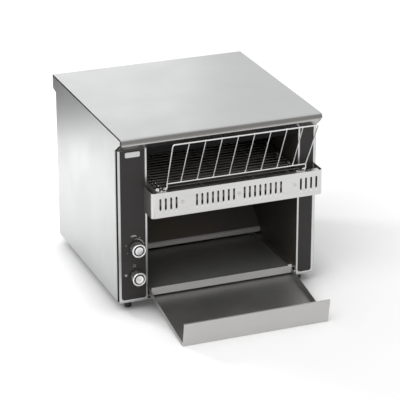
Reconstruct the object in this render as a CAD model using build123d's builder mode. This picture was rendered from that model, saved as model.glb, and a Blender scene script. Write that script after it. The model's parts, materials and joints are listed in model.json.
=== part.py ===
from build123d import *
from math import asin, atan2, cos, degrees, hypot, pi, radians, sin
import os

# Conveyor toaster for a counter. Millimetres, +Z up, +X to the user's right, the user stands at -Y.
# The origin is on the counter, below the middle of the whole object with its toast tray in place.

# ---------------------------------------------------------------- driving dimensions: casing
body_width = 470.0  # over both side panels
body_depth = 424.0  # face of the front panel to face of the rear panel
cover_height = 391.0  # foot line of the panels to the top of the cover
foot_height = 20.0  # counter to the underside of the base pan
base_drop = 3.0  # the base pan hangs this far below the panels
sheet = 1.2  # casing sheet
liner = 1.2  # chamber sheet
bend = 2.5  # outer bend radius of the casing
panel_gap = 0.3  # between sheets that end beside each other
front_overhang = 29.0  # cover in front of the front panel
rear_overhang = 21.0  # cover behind the rear panel
front_lip = 12.5
cover_round = 7.0  # outer bend radius of the cover above its front lip
front_soffit_drop = 35.4  # top of the cover to the foot of the front soffit
rear_lip = 32.5
rear_soffit_drop = 37.1
hem = 3.2  # fold behind the front lip
reveal = 11.0  # side panels stand back from the front panel
lip_reveal = 7.0  # and from the front lip
side_round = 5.0  # outer bend radius of a side panel's front edge
side_return = 8.0  # front edge of a side panel folded in
cover_groove = 4.0  # side panels stop this far below the top of the cover
groove_depth = 8.0
cover_slip = 0.24  # side panels clear the fold of the cover
flange = 12.0  # joining flanges inside the casing
front_panel_inset = 0.8  # from each side of the body
left_bay = 68.0  # controls and drive, between the side and the opening
right_bay = 43.8
header_height = 14.6  # top of the opening to the foot of the soffit
return_depth = 5.0  # edge of the front panel folded in beside the opening

# ---------------------------------------------------------------- driving dimensions: front trim
overlay_thickness = 0.8
overlay_foot = 3.7
overlay_top_gap = 0.3
overlay_corner = 6.0
border = 4.3  # bare metal beside the opening
left_overlay_width = 56.9
right_overlay_width = 32.4
badge_size = (34.0, 12.0, 0.6)
badge_drop = 10.5  # top of the panel to the middle of the badge

# ---------------------------------------------------------------- driving dimensions: heat shield
shield_depth = 48.0
shield_foot = 208.4
shield_height = 58.0
shield_left = 6.5  # beyond the opening
shield_right_gap = 4.5  # inside the side panel
shield_corner = 8.0
shelf_depth = 14.0
slot_width = 4.5
slot_length = 27.0
slot_pitch = 12.4
slot_drop = 27.0  # shelf to the middle of the slots
slot_counts = (4, 8, 8, 4)
slot_end_insets = (38.6, 34.2)  # middle of each end group inside the end of the shield
slot_middle_offsets = (-53.9, 58.0)  # middles of the inner groups beside the middle of the shield
rivet_radius = 4.5
rivet_head = 0.4
rivet_offset = 33.0  # from the middle of an end group
guard_rise = 11.0  # the left guard plate stands above the shelf

# ---------------------------------------------------------------- driving dimensions: belt and drive
belt_level = 266.4  # top of the belt above the foot line
wire_pitch = 15.2
wire_radius = 1.2
belt_teeth = 6
belt_spans = 22  # wire pitches between the two shafts
idler_reach = 18.0  # idler shaft in front of the front panel
belt_side_gaps = (8.0, 6.2)  # to the left and right chamber walls
link_width = 2.0
link_depth = 2.0
link_insets = (1.0, 12.0)  # side links of the belt, from its edge
shaft_radius = 5.0
idler_radius = 4.0
shaft_tail = 5.0  # drive shaft beyond the right chamber wall
idler_tail = 4.0
shaft_nose = 1.0  # drive shaft beyond its chain sprocket
running_gap = 0.05  # shaft in its bushing
bushing_wall = 3.5
bushing_collar = 2.0
collar_depth = 1.5
sprocket_width = 5.0
sprocket_hub = 9.0
sprocket_hub_width = 12.0
sprocket_clearance = 0.35  # tips inside the wires of the belt
scallop_gap = 1.68  # round each wire of the belt
sprocket_insets = (34.0, 118.0)  # from each chamber wall
rail_width = 4.0
rail_height = 6.0
rail_gap = 12.0  # from the belt's end loops
rail_places = (-88.0, 12.7, 113.0)
chain_pitch = 9.525
chain_roller = 2.5
chain_plate_height = 7.6
chain_plate = 0.9
driven_teeth = 14
motor_teeth = 9
chain_clearance = 0.4
chain_gap = 10.0  # sprockets outboard of the chamber wall
motor_height = 118.0  # motor shaft above the foot line
motor_setback = 14.0  # motor shaft in front of the drive shaft
motor_shaft_radius = 4.0
motor_shaft_depth = 12.0  # length inside the gearbox
sprocket_sheet = 3.0
gearbox_size = (22.0, 60.0, 74.0)
gearbox_gap = 7.0  # outboard of the sprockets
gearbox_rise = 16.0  # its middle above its shaft
gearbox_corner = 6.0
motor_can_radius = 26.0
motor_can_length = 22.0
bracket_sheet = 1.5
bracket_margin = 4.0
bracket_hole = 12.0

# ---------------------------------------------------------------- driving dimensions: chamber
chamber_top = 345.0  # above the foot line
rear_space = 32.0  # deflector in front of the rear panel
element_radius = 3.25
upper_element_count = 5
upper_element_height = 316.0
upper_element_start = 96.0  # behind the front panel
upper_element_pitch = 46.0
lower_element_count = 4
lower_element_start = 52.0
lower_element_pitch = 62.0
element_tail = 9.0
bead_radius = 6.0
bead_length = 6.0
reflector_sheet = 0.8
upper_reflector_gap = 12.0  # above the upper elements
reflector_skirt = 14.0
lower_reflector_height = 214.0
lower_reflector_length = 290.0
chute_slope = 40.0
chute_start = 207.0  # lower end of the slope, behind the front panel
chute_foot = 33.0
chute_sheet = 1.0
chute_hem = 10.0

# ---------------------------------------------------------------- driving dimensions: load rack
rack_wire = 1.5
rack_bar = 1.25
rack_setback = 38.0  # pivot in front of the front panel
rack_pivot_rise = 4.4  # pivot above the shelf
rack_leg = 11.0
rack_length = 120.0
rack_lean = 25.7
rack_left_gap = 31.3  # left leg inside the chamber wall
rack_right_reach = 1.3  # right leg beyond the chamber wall
rack_flare = 5.0
rack_corner = 4.5
rack_knee = 8.0
rack_bar_count = 8
rack_bar_margin = 31.9  # outer bars inside the legs
rack_bar_tip = 2.0
rack_pin = 9.0
tab_gap = 4.0  # from the leg of the rack
tab_width = 8.0
tab_foot = 15.0

# ---------------------------------------------------------------- driving dimensions: trays
tray_sheet = 0.8
tray_left_lap = 0.4  # in front of the left chamber wall
tray_right_gap = 16.5  # inside the right chamber wall
tray_length = 217.0  # hook rod to the front corner
tray_tail = 4.0  # floor behind the hook rod
tray_tail_inset = 4.0
tray_lift = 6.9  # tray floor above the hook rod
tray_wall = 56.0
tray_flange_front = 9.0
tray_flange_rear = 14.0
tray_flange_stop = 11.0  # side flanges stop this far before the hook rod
tray_hem = 4.0
hook_rod_radius = 2.5
hook_rod_setback = 4.0  # behind the front panel
hook_rod_height = 5.0  # above the foot line
hook_gap = 0.06
hook_wall = 1.3
hook_width = 24.0
hook_inset = 60.0
landing_height = 18.0  # underside of the landing tray above the foot line
landing_reach = 17.0
landing_length = 225.0
landing_flange = 5.0
landing_gap = 1.0  # between the trays, and to the chamber wall
ledge_foot = 13.2
ledge_height = 17.4
ledge_tab_length = 9.0
ledge_tab_height = 3.4
runner_gap = 0.3
runner_width = 10.0
runner_leg = 8.0
runner_sheet = 1.2

# ---------------------------------------------------------------- driving dimensions: controls
knob_offset = 28.0  # from the opening's left edge
speed_knob_height = 128.0
selector_knob_height = 60.0
knob_radius = 15.6  # over the rim
knob_length = 25.0
rim_length = 5.0
rim_width = 3.6
rim_round = 1.4
grip_radius = 14.6
knob_gap = 0.6
rib_count = 36
rib_depth = 0.5
cap_radius = 9.2
cap_drop = 0.4  # cap behind the front of the rim
cap_groove_depth = 2.4
index_width = 1.0
index_depth = 0.5
spindle_radius = 3.0
neck_radius = 4.8
control_depth = 13.0
control_radius = 13.0
board_size = (48.0, 92.0, 1.6)
board_height = 12.0
board_start = 52.0
board_corner = 5.0
relay_size = (16.0, 20.0, 15.0)
heat_sink_size = (8.0, 34.0, 22.0)
capacitor_radius = 6.0
capacitor_height = 19.0
standoff_radius = 3.0
terminal_size = (36.0, 26.0, 20.0)
terminal_gap = 22.0  # behind the control board
terminal_count = 4
terminal_screw = 2.6
switch_size = (28.0, 30.0)

# ---------------------------------------------------------------- driving dimensions: rear and feet
fan_size = 60.0
fan_depth = 25.0
fan_height = 298.0
fan_bore = 28.0
fan_corner = 4.0
fan_hole_inset = 5.0
fan_screw = 2.1
fan_strut = 3.0
fan_strut_count = 3
rotor_reach = 26.0
rotor_hub = 12.0
rotor_depth = 17.0
rotor_gap = 1.0
blade_count = 7
blade_sheet = 1.4
blade_chord = 15.0
blade_pitch = 38.0
blade_root = 1.0  # blades reach into the hub
fan_pin = 1.6
guard_rings = (8.0, 17.5, 27.0)
guard_wire = 1.8
guard_eye = 4.2
gland_height = 30.0
gland_bore = 5.0
gland_thread = 8.0
gland_nut = 11.0
gland_nut_length = 5.0
gland_length = 15.0
gland_round = 0.8  # share of the gland's wall
foot_inset_x = 29.0
foot_inset_y = 24.0
foot_top_radius = 9.0
foot_radius = 7.8
stud_radius = 3.0
stud_depth = 8.0
nut_radius = 5.5
nut_height = 4.5
screw_radius = 1.9
screw_head = 4.0
screw_head_height = 2.0
screw_length = 7.0
screw_inset = 8.0
screw_span = 228.0
screw_height = 137.0  # middle of the side screws above the foot line
side_flange = 15.0
side_flange_height = 252.0
vent_width = 5.0
vent_length = 36.0
vent_pitch = 11.0
base_vent_count = 4
rear_vent_count = 17

# ---------------------------------------------------------------- places that follow
half = body_width / 2
inner = half - sheet
pan_foot = foot_height
pan_floor = pan_foot + sheet
sill = foot_height + base_drop
roof = sill + cover_height
soffit_foot = roof - front_soffit_drop

hook_z = sill + hook_rod_height
tray_tilt = degrees(asin(hook_z / hypot(tray_length, tray_lift)) + atan2(tray_lift, tray_length))
tray_reach = (
    tray_length * cos(radians(tray_tilt))
    + (tray_lift + tray_wall) * sin(radians(tray_tilt))
    - hook_rod_setback
)
front = -(body_depth + rear_overhang - tray_reach) / 2
back = front + body_depth

opening_left = -half + left_bay
opening_right = half - right_bay
opening_top = soffit_foot - header_height
wall_left = opening_left + liner  # faces of the chamber walls
wall_right = opening_right
chamber_middle = (wall_left + wall_right) / 2
ceiling = sill + chamber_top
deflector_y = back - rear_space

shelf_top = sill + shield_foot + shield_height
shield_x = (opening_left - shield_left, half - shield_right_gap)
shield_front = front - shield_depth

wheel_radius = wire_pitch / 2 / sin(pi / belt_teeth)
shaft_z = sill + belt_level - wire_radius - wheel_radius
idler_y = front - idler_reach
drive_y = idler_y + belt_spans * wire_pitch
belt_x = (wall_left + belt_side_gaps[0], wall_right - belt_side_gaps[1])

driven_pitch_radius = chain_pitch / 2 / sin(pi / driven_teeth)
motor_pitch_radius = chain_pitch / 2 / sin(pi / motor_teeth)
chain_x = opening_left - chain_gap
gearbox_face = chain_x - gearbox_gap
motor_y = drive_y - motor_setback
motor_z = sill + motor_height

knob_x = opening_left - knob_offset
speed_z = sill + speed_knob_height
selector_z = sill + selector_knob_height
overlay_x = (opening_left - border - left_overlay_width, opening_left - border)
right_overlay_x = (opening_right + border, opening_right + border + right_overlay_width)
bay_middle = (-inner + opening_left - sheet) / 2
fan_hole_pitch = fan_size - 2 * fan_hole_inset


def middle(span):
    """Middle of a (low, high) pair."""
    return (span[0] + span[1]) / 2


def slab(x, y, z, mode=Mode.ADD):
    """A box between low and high values on each axis."""
    with Locations((middle(x), middle(y), middle(z))):
        Box(x[1] - x[0], y[1] - y[0], z[1] - z[0], mode=mode)


def rod_x(x, y, z, radius, mode=Mode.ADD):
    """A round bar along X."""
    with Locations((middle(x), y, z)):
        Cylinder(radius, x[1] - x[0], rotation=(0, 90, 0), mode=mode)


def rod_y(x, y, z, radius, mode=Mode.ADD):
    """A round bar along Y."""
    with Locations((x, middle(y), z)):
        Cylinder(radius, y[1] - y[0], rotation=(90, 0, 0), mode=mode)


def bar(start, end, radius):
    """A round bar between two points."""
    run = Vector(*end) - Vector(*start)
    with Locations(Plane(origin=Vector(*start) + run / 2, z_dir=run)):
        Cylinder(radius, run.length)


def facing(y):
    """Upright plane at depth y that faces the user: sketch in X and Z."""
    return Plane.XZ.offset(-y)


def beside(x):
    """Upright plane across the object at x: sketch in Y and Z."""
    return Plane.YZ.offset(x)


def save(piece, label):
    """Label a finished piece and write its STEP file."""
    piece.part.label = label
    export_step(piece.part, f"parts/{label}.step")


os.makedirs("parts", exist_ok=True)

# ================================================================ casing
with BuildPart() as base_pan:
    slab((-inner, inner), (front, back - sheet), (pan_foot, pan_floor))
    slab((-inner, inner), (front, front + sheet), (pan_floor, sill))
    for side in (-1, 1):
        edge = sorted((side * inner, side * (inner - sheet)))
        slab(edge, (front + reveal + side_round, back - sheet), (pan_floor, sill + flange))
    slab((-inner, inner), (back - 2 * sheet, back - sheet), (pan_floor, sill + flange))
    with BuildSketch(Plane.XY.offset(pan_foot)):
        with Locations((bay_middle, front + board_start + board_size[1] / 2)):
            with GridLocations(vent_pitch, 0, base_vent_count, 1):
                SlotOverall(vent_length, vent_width, rotation=90)
    extrude(amount=sheet, mode=Mode.SUBTRACT)
    with BuildSketch(Plane.XY.offset(pan_foot)):
        with Locations((0, middle((front, back)))):
            with GridLocations(body_width - 2 * foot_inset_x, body_depth - 2 * foot_inset_y, 2, 2):
                Circle(stud_radius)
    extrude(amount=sheet, mode=Mode.SUBTRACT)
save(base_pan, "base_pan")

panel_outline = (
    (front + reveal + side_round, sill),
    (front + reveal + side_round, soffit_foot - bend),
    (front + reveal, soffit_foot - bend),
    (front + reveal, soffit_foot),
    (front - front_overhang + lip_reveal, roof - front_lip),
    (front - front_overhang + lip_reveal, roof - cover_groove),
    (back + rear_overhang - sheet - running_gap, roof - cover_groove),
    (back + rear_overhang - bend, roof - rear_lip + sheet + cover_slip),
    (back, roof - rear_soffit_drop + sheet + cover_slip),
    (back, sill),
)


def side_flanges(outer, wall, groove):
    """Flanges of a side panel: under the cover, behind the rear panel and folded in at its front."""
    with BuildSketch(Plane.XY.offset(sill)) as folded_edge:
        with BuildLine():
            FilletPolyline(
                (outer * half, front + reveal + side_round + bend),
                (outer * half, front + reveal),
                (outer * (half - side_return), front + reveal),
                radius=side_round,
            )
            offset(amount=sheet, side=Side.RIGHT if outer > 0 else Side.LEFT)
        make_face()
    extrude(folded_edge.sketch, amount=soffit_foot - bend - sill)
    slab(
        sorted((wall, groove)),
        (front - front_overhang + 2 * flange, back + rear_overhang - flange),
        (roof - cover_groove - sheet, roof - cover_groove),
    )
    slab(
        sorted((wall, wall - side_flange * outer)),
        (back - 2 * sheet, back - sheet),
        (sill + flange, sill + side_flange_height),
    )
    for i in (-1, 0, 1):
        rod_y(
            outer * (inner - screw_inset),
            (back - 2 * sheet, back - sheet),
            sill + screw_height + i * screw_span / 2,
            screw_radius,
            mode=Mode.SUBTRACT,
        )


with BuildPart() as side_panel_left:
    with BuildSketch(beside(-half)):
        Polygon(*panel_outline, align=None)
    extrude(amount=sheet)
    side_flanges(-1, -inner, -half + groove_depth)
save(side_panel_left, "side_panel_left")

with BuildPart() as side_panel_right:
    with BuildSketch(beside(inner)):
        Polygon(*panel_outline, align=None)
    extrude(amount=sheet)
    side_flanges(1, inner, half - groove_depth)
save(side_panel_right, "side_panel_right")

with BuildPart() as top_cover:
    with BuildSketch(beside(-half)):
        with BuildLine():
            FilletPolyline(
                (front - front_overhang + hem + bend, roof - front_lip),
                (front - front_overhang, roof - front_lip),
                (front - front_overhang, roof),
                (back + rear_overhang, roof),
                (back + rear_overhang, roof - rear_lip),
                (back + panel_gap, roof - rear_soffit_drop),
                radius=[bend, cover_round, bend, bend],
            )
            offset(amount=sheet, side=Side.RIGHT)
        make_face()
    extrude(amount=body_width)
    for side in (-1, 1):
        edge = sorted((side * (half - groove_depth), side * (half - groove_depth - sheet)))
        slab(
            edge,
            (front - front_overhang + 2 * flange, back + rear_overhang - flange),
            (roof - sheet - flange, roof - sheet),
        )
save(top_cover, "top_cover")

soffit_top = front - front_overhang + hem + bend
soffit_slope = (roof - front_lip - soffit_foot) / front_overhang
soffit_top_z = roof - front_lip - soffit_slope * (hem + bend)
with BuildPart() as front_soffit:
    with BuildSketch(beside(-inner)):
        Polygon(
            (soffit_top, soffit_top_z),
            (front, soffit_foot),
            (front + sheet, soffit_foot),
            (front + sheet, soffit_foot + sheet),
            (soffit_top + sheet, soffit_top_z + sheet),
            (soffit_top + sheet, roof - front_lip + sheet),
            (soffit_top, roof - front_lip + sheet),
            align=None,
        )
    extrude(amount=2 * inner)
    slab(
        (opening_left, opening_right),
        (front - overlay_thickness, front),
        (opening_top, soffit_foot),
    )
    slab(
        (opening_left, opening_right),
        (front - overlay_thickness, front + sheet),
        (soffit_foot, soffit_foot + sheet / 2),
    )
save(front_soffit, "front_soffit")

with BuildPart() as front_panel:
    with BuildSketch(facing(front)):
        with Locations((0, middle((sill, soffit_foot)))):
            Rectangle(body_width - 2 * front_panel_inset, soffit_foot - sill)
        with Locations((middle((opening_left, opening_right)), middle((sill, opening_top)))):
            Rectangle(opening_right - opening_left, opening_top - sill, mode=Mode.SUBTRACT)
    extrude(amount=-sheet)
    slab(
        (opening_left - sheet, opening_left),
        (front + sheet, front + return_depth),
        (sill, opening_top),
    )
    slab(
        (opening_right, opening_right + sheet),
        (front + sheet, front + return_depth),
        (sill, sill + shield_foot),
    )
    slab(
        (opening_right, opening_right + sheet),
        (front + sheet, front + return_depth),
        (shelf_top, opening_top + sheet),
    )
    slab(
        (wall_left, wall_right),
        (front + sheet, front + return_depth),
        (opening_top, opening_top + sheet),
    )
    for side in (-1, 1):
        edge = side * (half - front_panel_inset)
        slab(
            sorted((edge, edge - side * sheet)),
            (front + sheet, front + reveal - panel_gap),
            (sill, soffit_foot - bend),
        )
    for z in (speed_z, selector_z):
        rod_y(knob_x, (front, front + sheet), z, neck_radius, mode=Mode.SUBTRACT)
    slab(
        (opening_right, opening_right + liner),
        (front, front + sheet),
        (sill + shield_foot, shelf_top - sheet),
        mode=Mode.SUBTRACT,
    )
save(front_panel, "front_panel")

with BuildPart() as control_overlay:
    with BuildSketch(facing(front)):
        with Locations((middle(overlay_x), middle((sill + overlay_foot, soffit_foot - overlay_top_gap)))):
            Rectangle(left_overlay_width, soffit_foot - overlay_top_gap - sill - overlay_foot)
    extrude(amount=overlay_thickness)
    fillet(
        control_overlay.edges().filter_by(Axis.Y).group_by(Axis.Z)[0],
        radius=overlay_corner,
    )
    for z in (speed_z, selector_z):
        rod_y(knob_x, (front - overlay_thickness, front), z, neck_radius, mode=Mode.SUBTRACT)
save(control_overlay, "control_overlay")

with BuildPart() as right_overlay:
    with BuildSketch(facing(front)):
        with Locations(
            (middle(right_overlay_x), middle((sill + overlay_foot, soffit_foot - overlay_top_gap)))
        ):
            Rectangle(right_overlay_width, soffit_foot - overlay_top_gap - sill - overlay_foot)
    extrude(amount=overlay_thickness)
    fillet(
        right_overlay.edges().filter_by(Axis.Y).group_by(Axis.Z)[0],
        radius=overlay_corner,
    )
save(right_overlay, "right_overlay")

with BuildPart() as blank_badge:
    with BuildSketch(facing(front - overlay_thickness)):
        with Locations((middle(overlay_x), soffit_foot - badge_drop)):
            RectangleRounded(badge_size[0], badge_size[1], badge_size[1] / 4)
    extrude(amount=badge_size[2])
save(blank_badge, "blank_badge")

with BuildPart() as rear_panel:
    with BuildSketch(facing(back)):
        with Locations((0, middle((sill, roof - rear_soffit_drop)))):
            Rectangle(2 * inner, roof - rear_soffit_drop - sill)
        with Locations((bay_middle, sill + fan_height)):
            Circle(fan_bore, mode=Mode.SUBTRACT)
        with Locations((bay_middle, sill + gland_height)):
            Circle(gland_thread, mode=Mode.SUBTRACT)
        with Locations((bay_middle, sill + fan_height)):
            with GridLocations(fan_hole_pitch, fan_hole_pitch, 2, 2):
                Circle(fan_screw, mode=Mode.SUBTRACT)
        with Locations((chamber_middle, sill + fan_height)):
            with GridLocations(vent_pitch, 0, rear_vent_count, 1):
                SlotOverall(vent_length, vent_width, rotation=90, mode=Mode.SUBTRACT)
        with Locations((0, sill + screw_height)):
            with GridLocations(2 * (inner - screw_inset), screw_span / 2, 2, 3):
                Circle(screw_radius, mode=Mode.SUBTRACT)
    extrude(amount=sheet)
save(rear_panel, "rear_panel")

# ================================================================ chamber
upper_element_places = [
    (front + upper_element_start + i * upper_element_pitch, sill + upper_element_height)
    for i in range(upper_element_count)
]
lower_element_places = [
    (front + lower_element_start + i * lower_element_pitch, shaft_z) for i in range(lower_element_count)
]
element_places = upper_element_places + lower_element_places
shaft_places = ((idler_y, shaft_z, idler_radius), (drive_y, shaft_z, shaft_radius))
ear_y = shield_front + sheet + panel_gap


def wall_outline(start, ear_top):
    """Chamber wall seen from the side, with the ear that carries the idler shaft."""
    return (
        (start, pan_floor),
        (start, sill + shield_foot + sheet),
        (ear_y, sill + shield_foot + sheet),
        (ear_y, ear_top),
        (start, ear_top),
        (start, ceiling),
        (deflector_y + chute_sheet, ceiling),
        (deflector_y + chute_sheet, pan_floor),
    )


def wall_holes():
    """Holes for the shaft bushings and the element beads, in a sketch across the object."""
    for y, z in element_places:
        with Locations((y, z)):
            Circle(bead_radius, mode=Mode.SUBTRACT)
    for y, z, radius in shaft_places:
        with Locations((y, z)):
            Circle(radius + running_gap + bushing_wall, mode=Mode.SUBTRACT)


with BuildPart() as chamber_wall_left:
    with BuildSketch(beside(opening_left)):
        Polygon(*wall_outline(front + sheet, shelf_top + guard_rise), align=None)
        wall_holes()
    extrude(amount=liner)
save(chamber_wall_left, "chamber_wall_left")

with BuildPart() as chamber_wall_right:
    with BuildSketch(beside(wall_right)):
        Polygon(*wall_outline(front + return_depth, shelf_top - sheet - running_gap), align=None)
        wall_holes()
    extrude(amount=liner)
save(chamber_wall_right, "chamber_wall_right")

with BuildPart() as chamber_ceiling:
    slab(
        (opening_left, wall_right + liner),
        (front + sheet, deflector_y + chute_sheet),
        (ceiling, ceiling + liner),
    )
save(chamber_ceiling, "chamber_ceiling")

reflector_z = sill + upper_element_height + upper_reflector_gap
reflector_y = (
    front + upper_element_start - upper_element_pitch / 2,
    front + upper_element_start + (upper_element_count - 0.5) * upper_element_pitch,
)
with BuildPart() as upper_reflector:
    with BuildSketch(beside(wall_left)):
        with BuildLine():
            Polyline(
                (reflector_y[0] - reflector_skirt / 2, reflector_z - reflector_skirt),
                (reflector_y[0], reflector_z),
                (reflector_y[1], reflector_z),
                (reflector_y[1] + reflector_skirt / 2, reflector_z - reflector_skirt),
            )
            offset(amount=reflector_sheet, side=Side.LEFT)
        make_face()
    extrude(amount=wall_right - wall_left)
save(upper_reflector, "upper_reflector")

with BuildPart() as lower_reflector:
    lower_y = (front + return_depth, front + return_depth + lower_reflector_length)
    lower_z = sill + lower_reflector_height
    slab((wall_left, wall_right), lower_y, (lower_z, lower_z + reflector_sheet))
    for y in (lower_y[0], lower_y[1] - reflector_sheet):
        slab(
            (wall_left, wall_right),
            (y, y + reflector_sheet),
            (lower_z + reflector_sheet, lower_z + flange),
        )
save(lower_reflector, "lower_reflector")

chute_rise = (deflector_y - front - chute_start) * sin(radians(chute_slope)) / cos(radians(chute_slope))
chute_top = sill + chute_foot + chute_rise
with BuildPart() as toast_chute:
    with BuildSketch(beside(wall_left)):
        with BuildLine():
            Polyline(
                (front + chute_start, sill + chute_foot - chute_hem),
                (front + chute_start, sill + chute_foot),
                (deflector_y, chute_top),
            )
            offset(amount=chute_sheet, side=Side.RIGHT, kind=Kind.INTERSECTION)
        make_face()
    extrude(amount=wall_right - wall_left)
save(toast_chute, "toast_chute")

with BuildPart() as rear_deflector:
    slab((wall_left, wall_right), (deflector_y, deflector_y + chute_sheet), (chute_top, ceiling))
save(rear_deflector, "rear_deflector")

with BuildPart() as upper_elements:
    for y, z in upper_element_places:
        rod_x((opening_left - element_tail, wall_right + liner + element_tail), y, z, element_radius)
save(upper_elements, "upper_elements")

with BuildPart() as lower_elements:
    for y, z in lower_element_places:
        rod_x((opening_left - element_tail, wall_right + liner + element_tail), y, z, element_radius)
save(lower_elements, "lower_elements")

bead_overhang = (bead_length - liner) / 2
with BuildPart() as element_beads:
    for x in (opening_left, wall_right):
        with BuildSketch(beside(x - bead_overhang)):
            with Locations(*element_places):
                Circle(bead_radius)
                Circle(element_radius, mode=Mode.SUBTRACT)
        extrude(amount=bead_length)
save(element_beads, "element_beads")

# ================================================================ belt
wire_places = []
for i in range(belt_spans + 1):
    wire_places.append((idler_y + i * wire_pitch, shaft_z + wheel_radius))
    wire_places.append((idler_y + i * wire_pitch, shaft_z - wheel_radius))
for i in range(1, belt_teeth // 2):
    turn = radians(90 - i * 360 / belt_teeth)
    wire_places.append((drive_y + wheel_radius * cos(turn), shaft_z + wheel_radius * sin(turn)))
    wire_places.append((idler_y - wheel_radius * cos(turn), shaft_z + wheel_radius * sin(turn)))


def wheel_points(y, facing_rear):
    """Corners of the belt where it wraps round one shaft, from the top to the bottom."""
    side = 1 if facing_rear else -1
    turns = [radians(90 - i * 360 / belt_teeth) for i in range(belt_teeth // 2 + 1)]
    return [(y + side * wheel_radius * cos(t), shaft_z + wheel_radius * sin(t)) for t in turns]


link_loop = wheel_points(drive_y, True) + wheel_points(idler_y, False)[::-1]
link_places = [belt_x[0] + inset for inset in link_insets]
link_places += [belt_x[1] - inset for inset in link_insets]

with BuildPart() as conveyor_belt:
    for x in link_places:
        with BuildSketch(beside(x - link_width / 2)):
            with BuildLine():
                Polyline(*link_loop, close=True)
            make_face()
            offset(amount=link_depth / 2, kind=Kind.INTERSECTION)
            with BuildLine():
                Polyline(*link_loop, close=True)
            offset(make_face(mode=Mode.PRIVATE), amount=-link_depth / 2, mode=Mode.SUBTRACT)
        extrude(amount=link_width)
    with BuildSketch(beside(belt_x[0])):
        with Locations(*wire_places):
            Circle(wire_radius)
    extrude(amount=belt_x[1] - belt_x[0])
save(conveyor_belt, "conveyor_belt")

rail_top = shaft_z + wheel_radius - wire_radius
rail_y = (idler_y + wheel_radius + rail_gap, drive_y - wheel_radius - rail_gap)
with BuildPart() as belt_rails:
    for x in rail_places:
        slab((x - rail_width / 2, x + rail_width / 2), rail_y, (rail_top - rail_height, rail_top))
    for y in (rail_y[0], rail_y[1] - rail_height):
        slab(
            (wall_left, wall_right),
            (y, y + rail_height),
            (rail_top - rail_height - rail_width, rail_top - rail_height),
        )
save(belt_rails, "belt_rails")

with BuildPart() as drive_shaft:
    rod_x((chain_x - shaft_nose, wall_right + liner + shaft_tail), drive_y, shaft_z, shaft_radius)
save(drive_shaft, "drive_shaft")

with BuildPart() as idler_shaft:
    rod_x((opening_left - idler_tail, wall_right + liner + idler_tail), idler_y, shaft_z, idler_radius)
save(idler_shaft, "idler_shaft")

sprocket_places = [wall_left + inset for inset in sprocket_insets]
sprocket_places += [wall_right - inset for inset in sprocket_insets]
sprocket_tip = wheel_radius - wire_radius - sprocket_clearance


def belt_sprockets(y, bore):
    """Scalloped wheels that carry the belt, all on one shaft."""
    for x in sprocket_places:
        with BuildSketch(beside(x - sprocket_width / 2)) as wheel:
            with Locations((y, shaft_z)):
                Circle(sprocket_tip)
                with PolarLocations(wheel_radius, belt_teeth, start_angle=90):
                    Circle(wire_radius + scallop_gap, mode=Mode.SUBTRACT)
                Circle(bore, mode=Mode.SUBTRACT)
        extrude(wheel.sketch, amount=sprocket_width)
        with BuildSketch(beside(x - sprocket_hub_width / 2)) as hub:
            with Locations((y, shaft_z)):
                Circle(sprocket_hub)
                Circle(bore, mode=Mode.SUBTRACT)
        extrude(hub.sketch, amount=sprocket_hub_width)


with BuildPart() as drive_sprockets:
    belt_sprockets(drive_y, shaft_radius)
save(drive_sprockets, "drive_sprockets")

with BuildPart() as idler_sprockets:
    belt_sprockets(idler_y, idler_radius)
save(idler_sprockets, "idler_sprockets")

with BuildPart() as shaft_bushings:
    for x, collar in ((opening_left, opening_left - collar_depth), (wall_right, wall_right + liner)):
        for y, z, radius in shaft_places:
            bore = radius + running_gap
            rod_x((x, x + liner), y, z, bore + bushing_wall)
            rod_x((collar, collar + collar_depth), y, z, bore + bushing_wall + bushing_collar)
            rod_x((opening_left - collar_depth, x + liner + collar_depth), y, z, bore, Mode.SUBTRACT)
save(shaft_bushings, "shaft_bushings")

# ================================================================ drive
with BuildPart() as driven_sprocket:
    with BuildSketch(beside(chain_x)):
        with Locations((drive_y, shaft_z)):
            Circle(driven_pitch_radius - chain_roller - chain_clearance)
            Circle(shaft_radius, mode=Mode.SUBTRACT)
    extrude(amount=sprocket_sheet)
save(driven_sprocket, "driven_sprocket")

with BuildPart() as motor_sprocket:
    with BuildSketch(beside(chain_x)):
        with Locations((motor_y, motor_z)):
            Circle(motor_pitch_radius - chain_roller - chain_clearance)
            Circle(motor_shaft_radius, mode=Mode.SUBTRACT)
    extrude(amount=sprocket_sheet)
save(motor_sprocket, "motor_sprocket")

with BuildPart() as motor_shaft:
    rod_x((gearbox_face - motor_shaft_depth, chain_x + sprocket_sheet), motor_y, motor_z, motor_shaft_radius)
save(motor_shaft, "motor_shaft")


def chain_outline(x, growth):
    """Loop of the chain round both sprockets, grown from its pitch line."""
    with BuildSketch(beside(x)) as outline:
        with Locations((drive_y, shaft_z)):
            Circle(driven_pitch_radius + growth)
        with Locations((motor_y, motor_z)):
            Circle(motor_pitch_radius + growth)
        make_hull()
    return outline.sketch


chain_inner = (chain_x - chain_clearance, chain_x + sprocket_sheet + chain_clearance)
pitch_line = chain_outline(chain_inner[0], 0).face().outer_wire()
roller_count = round(pitch_line.length / chain_pitch)
roller_places = [pitch_line.position_at(i / roller_count) for i in range(roller_count)]
with BuildPart() as drive_chain:
    for x in (chain_inner[0] - chain_plate, chain_inner[1]):
        extrude(chain_outline(x, chain_plate_height / 2), amount=chain_plate)
        extrude(chain_outline(x, -chain_plate_height / 2), amount=chain_plate, mode=Mode.SUBTRACT)
    with BuildSketch(beside(chain_inner[0])):
        with Locations(*[(place.Y, place.Z) for place in roller_places]):
            Circle(chain_roller)
    extrude(amount=chain_inner[1] - chain_inner[0])
save(drive_chain, "drive_chain")

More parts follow.
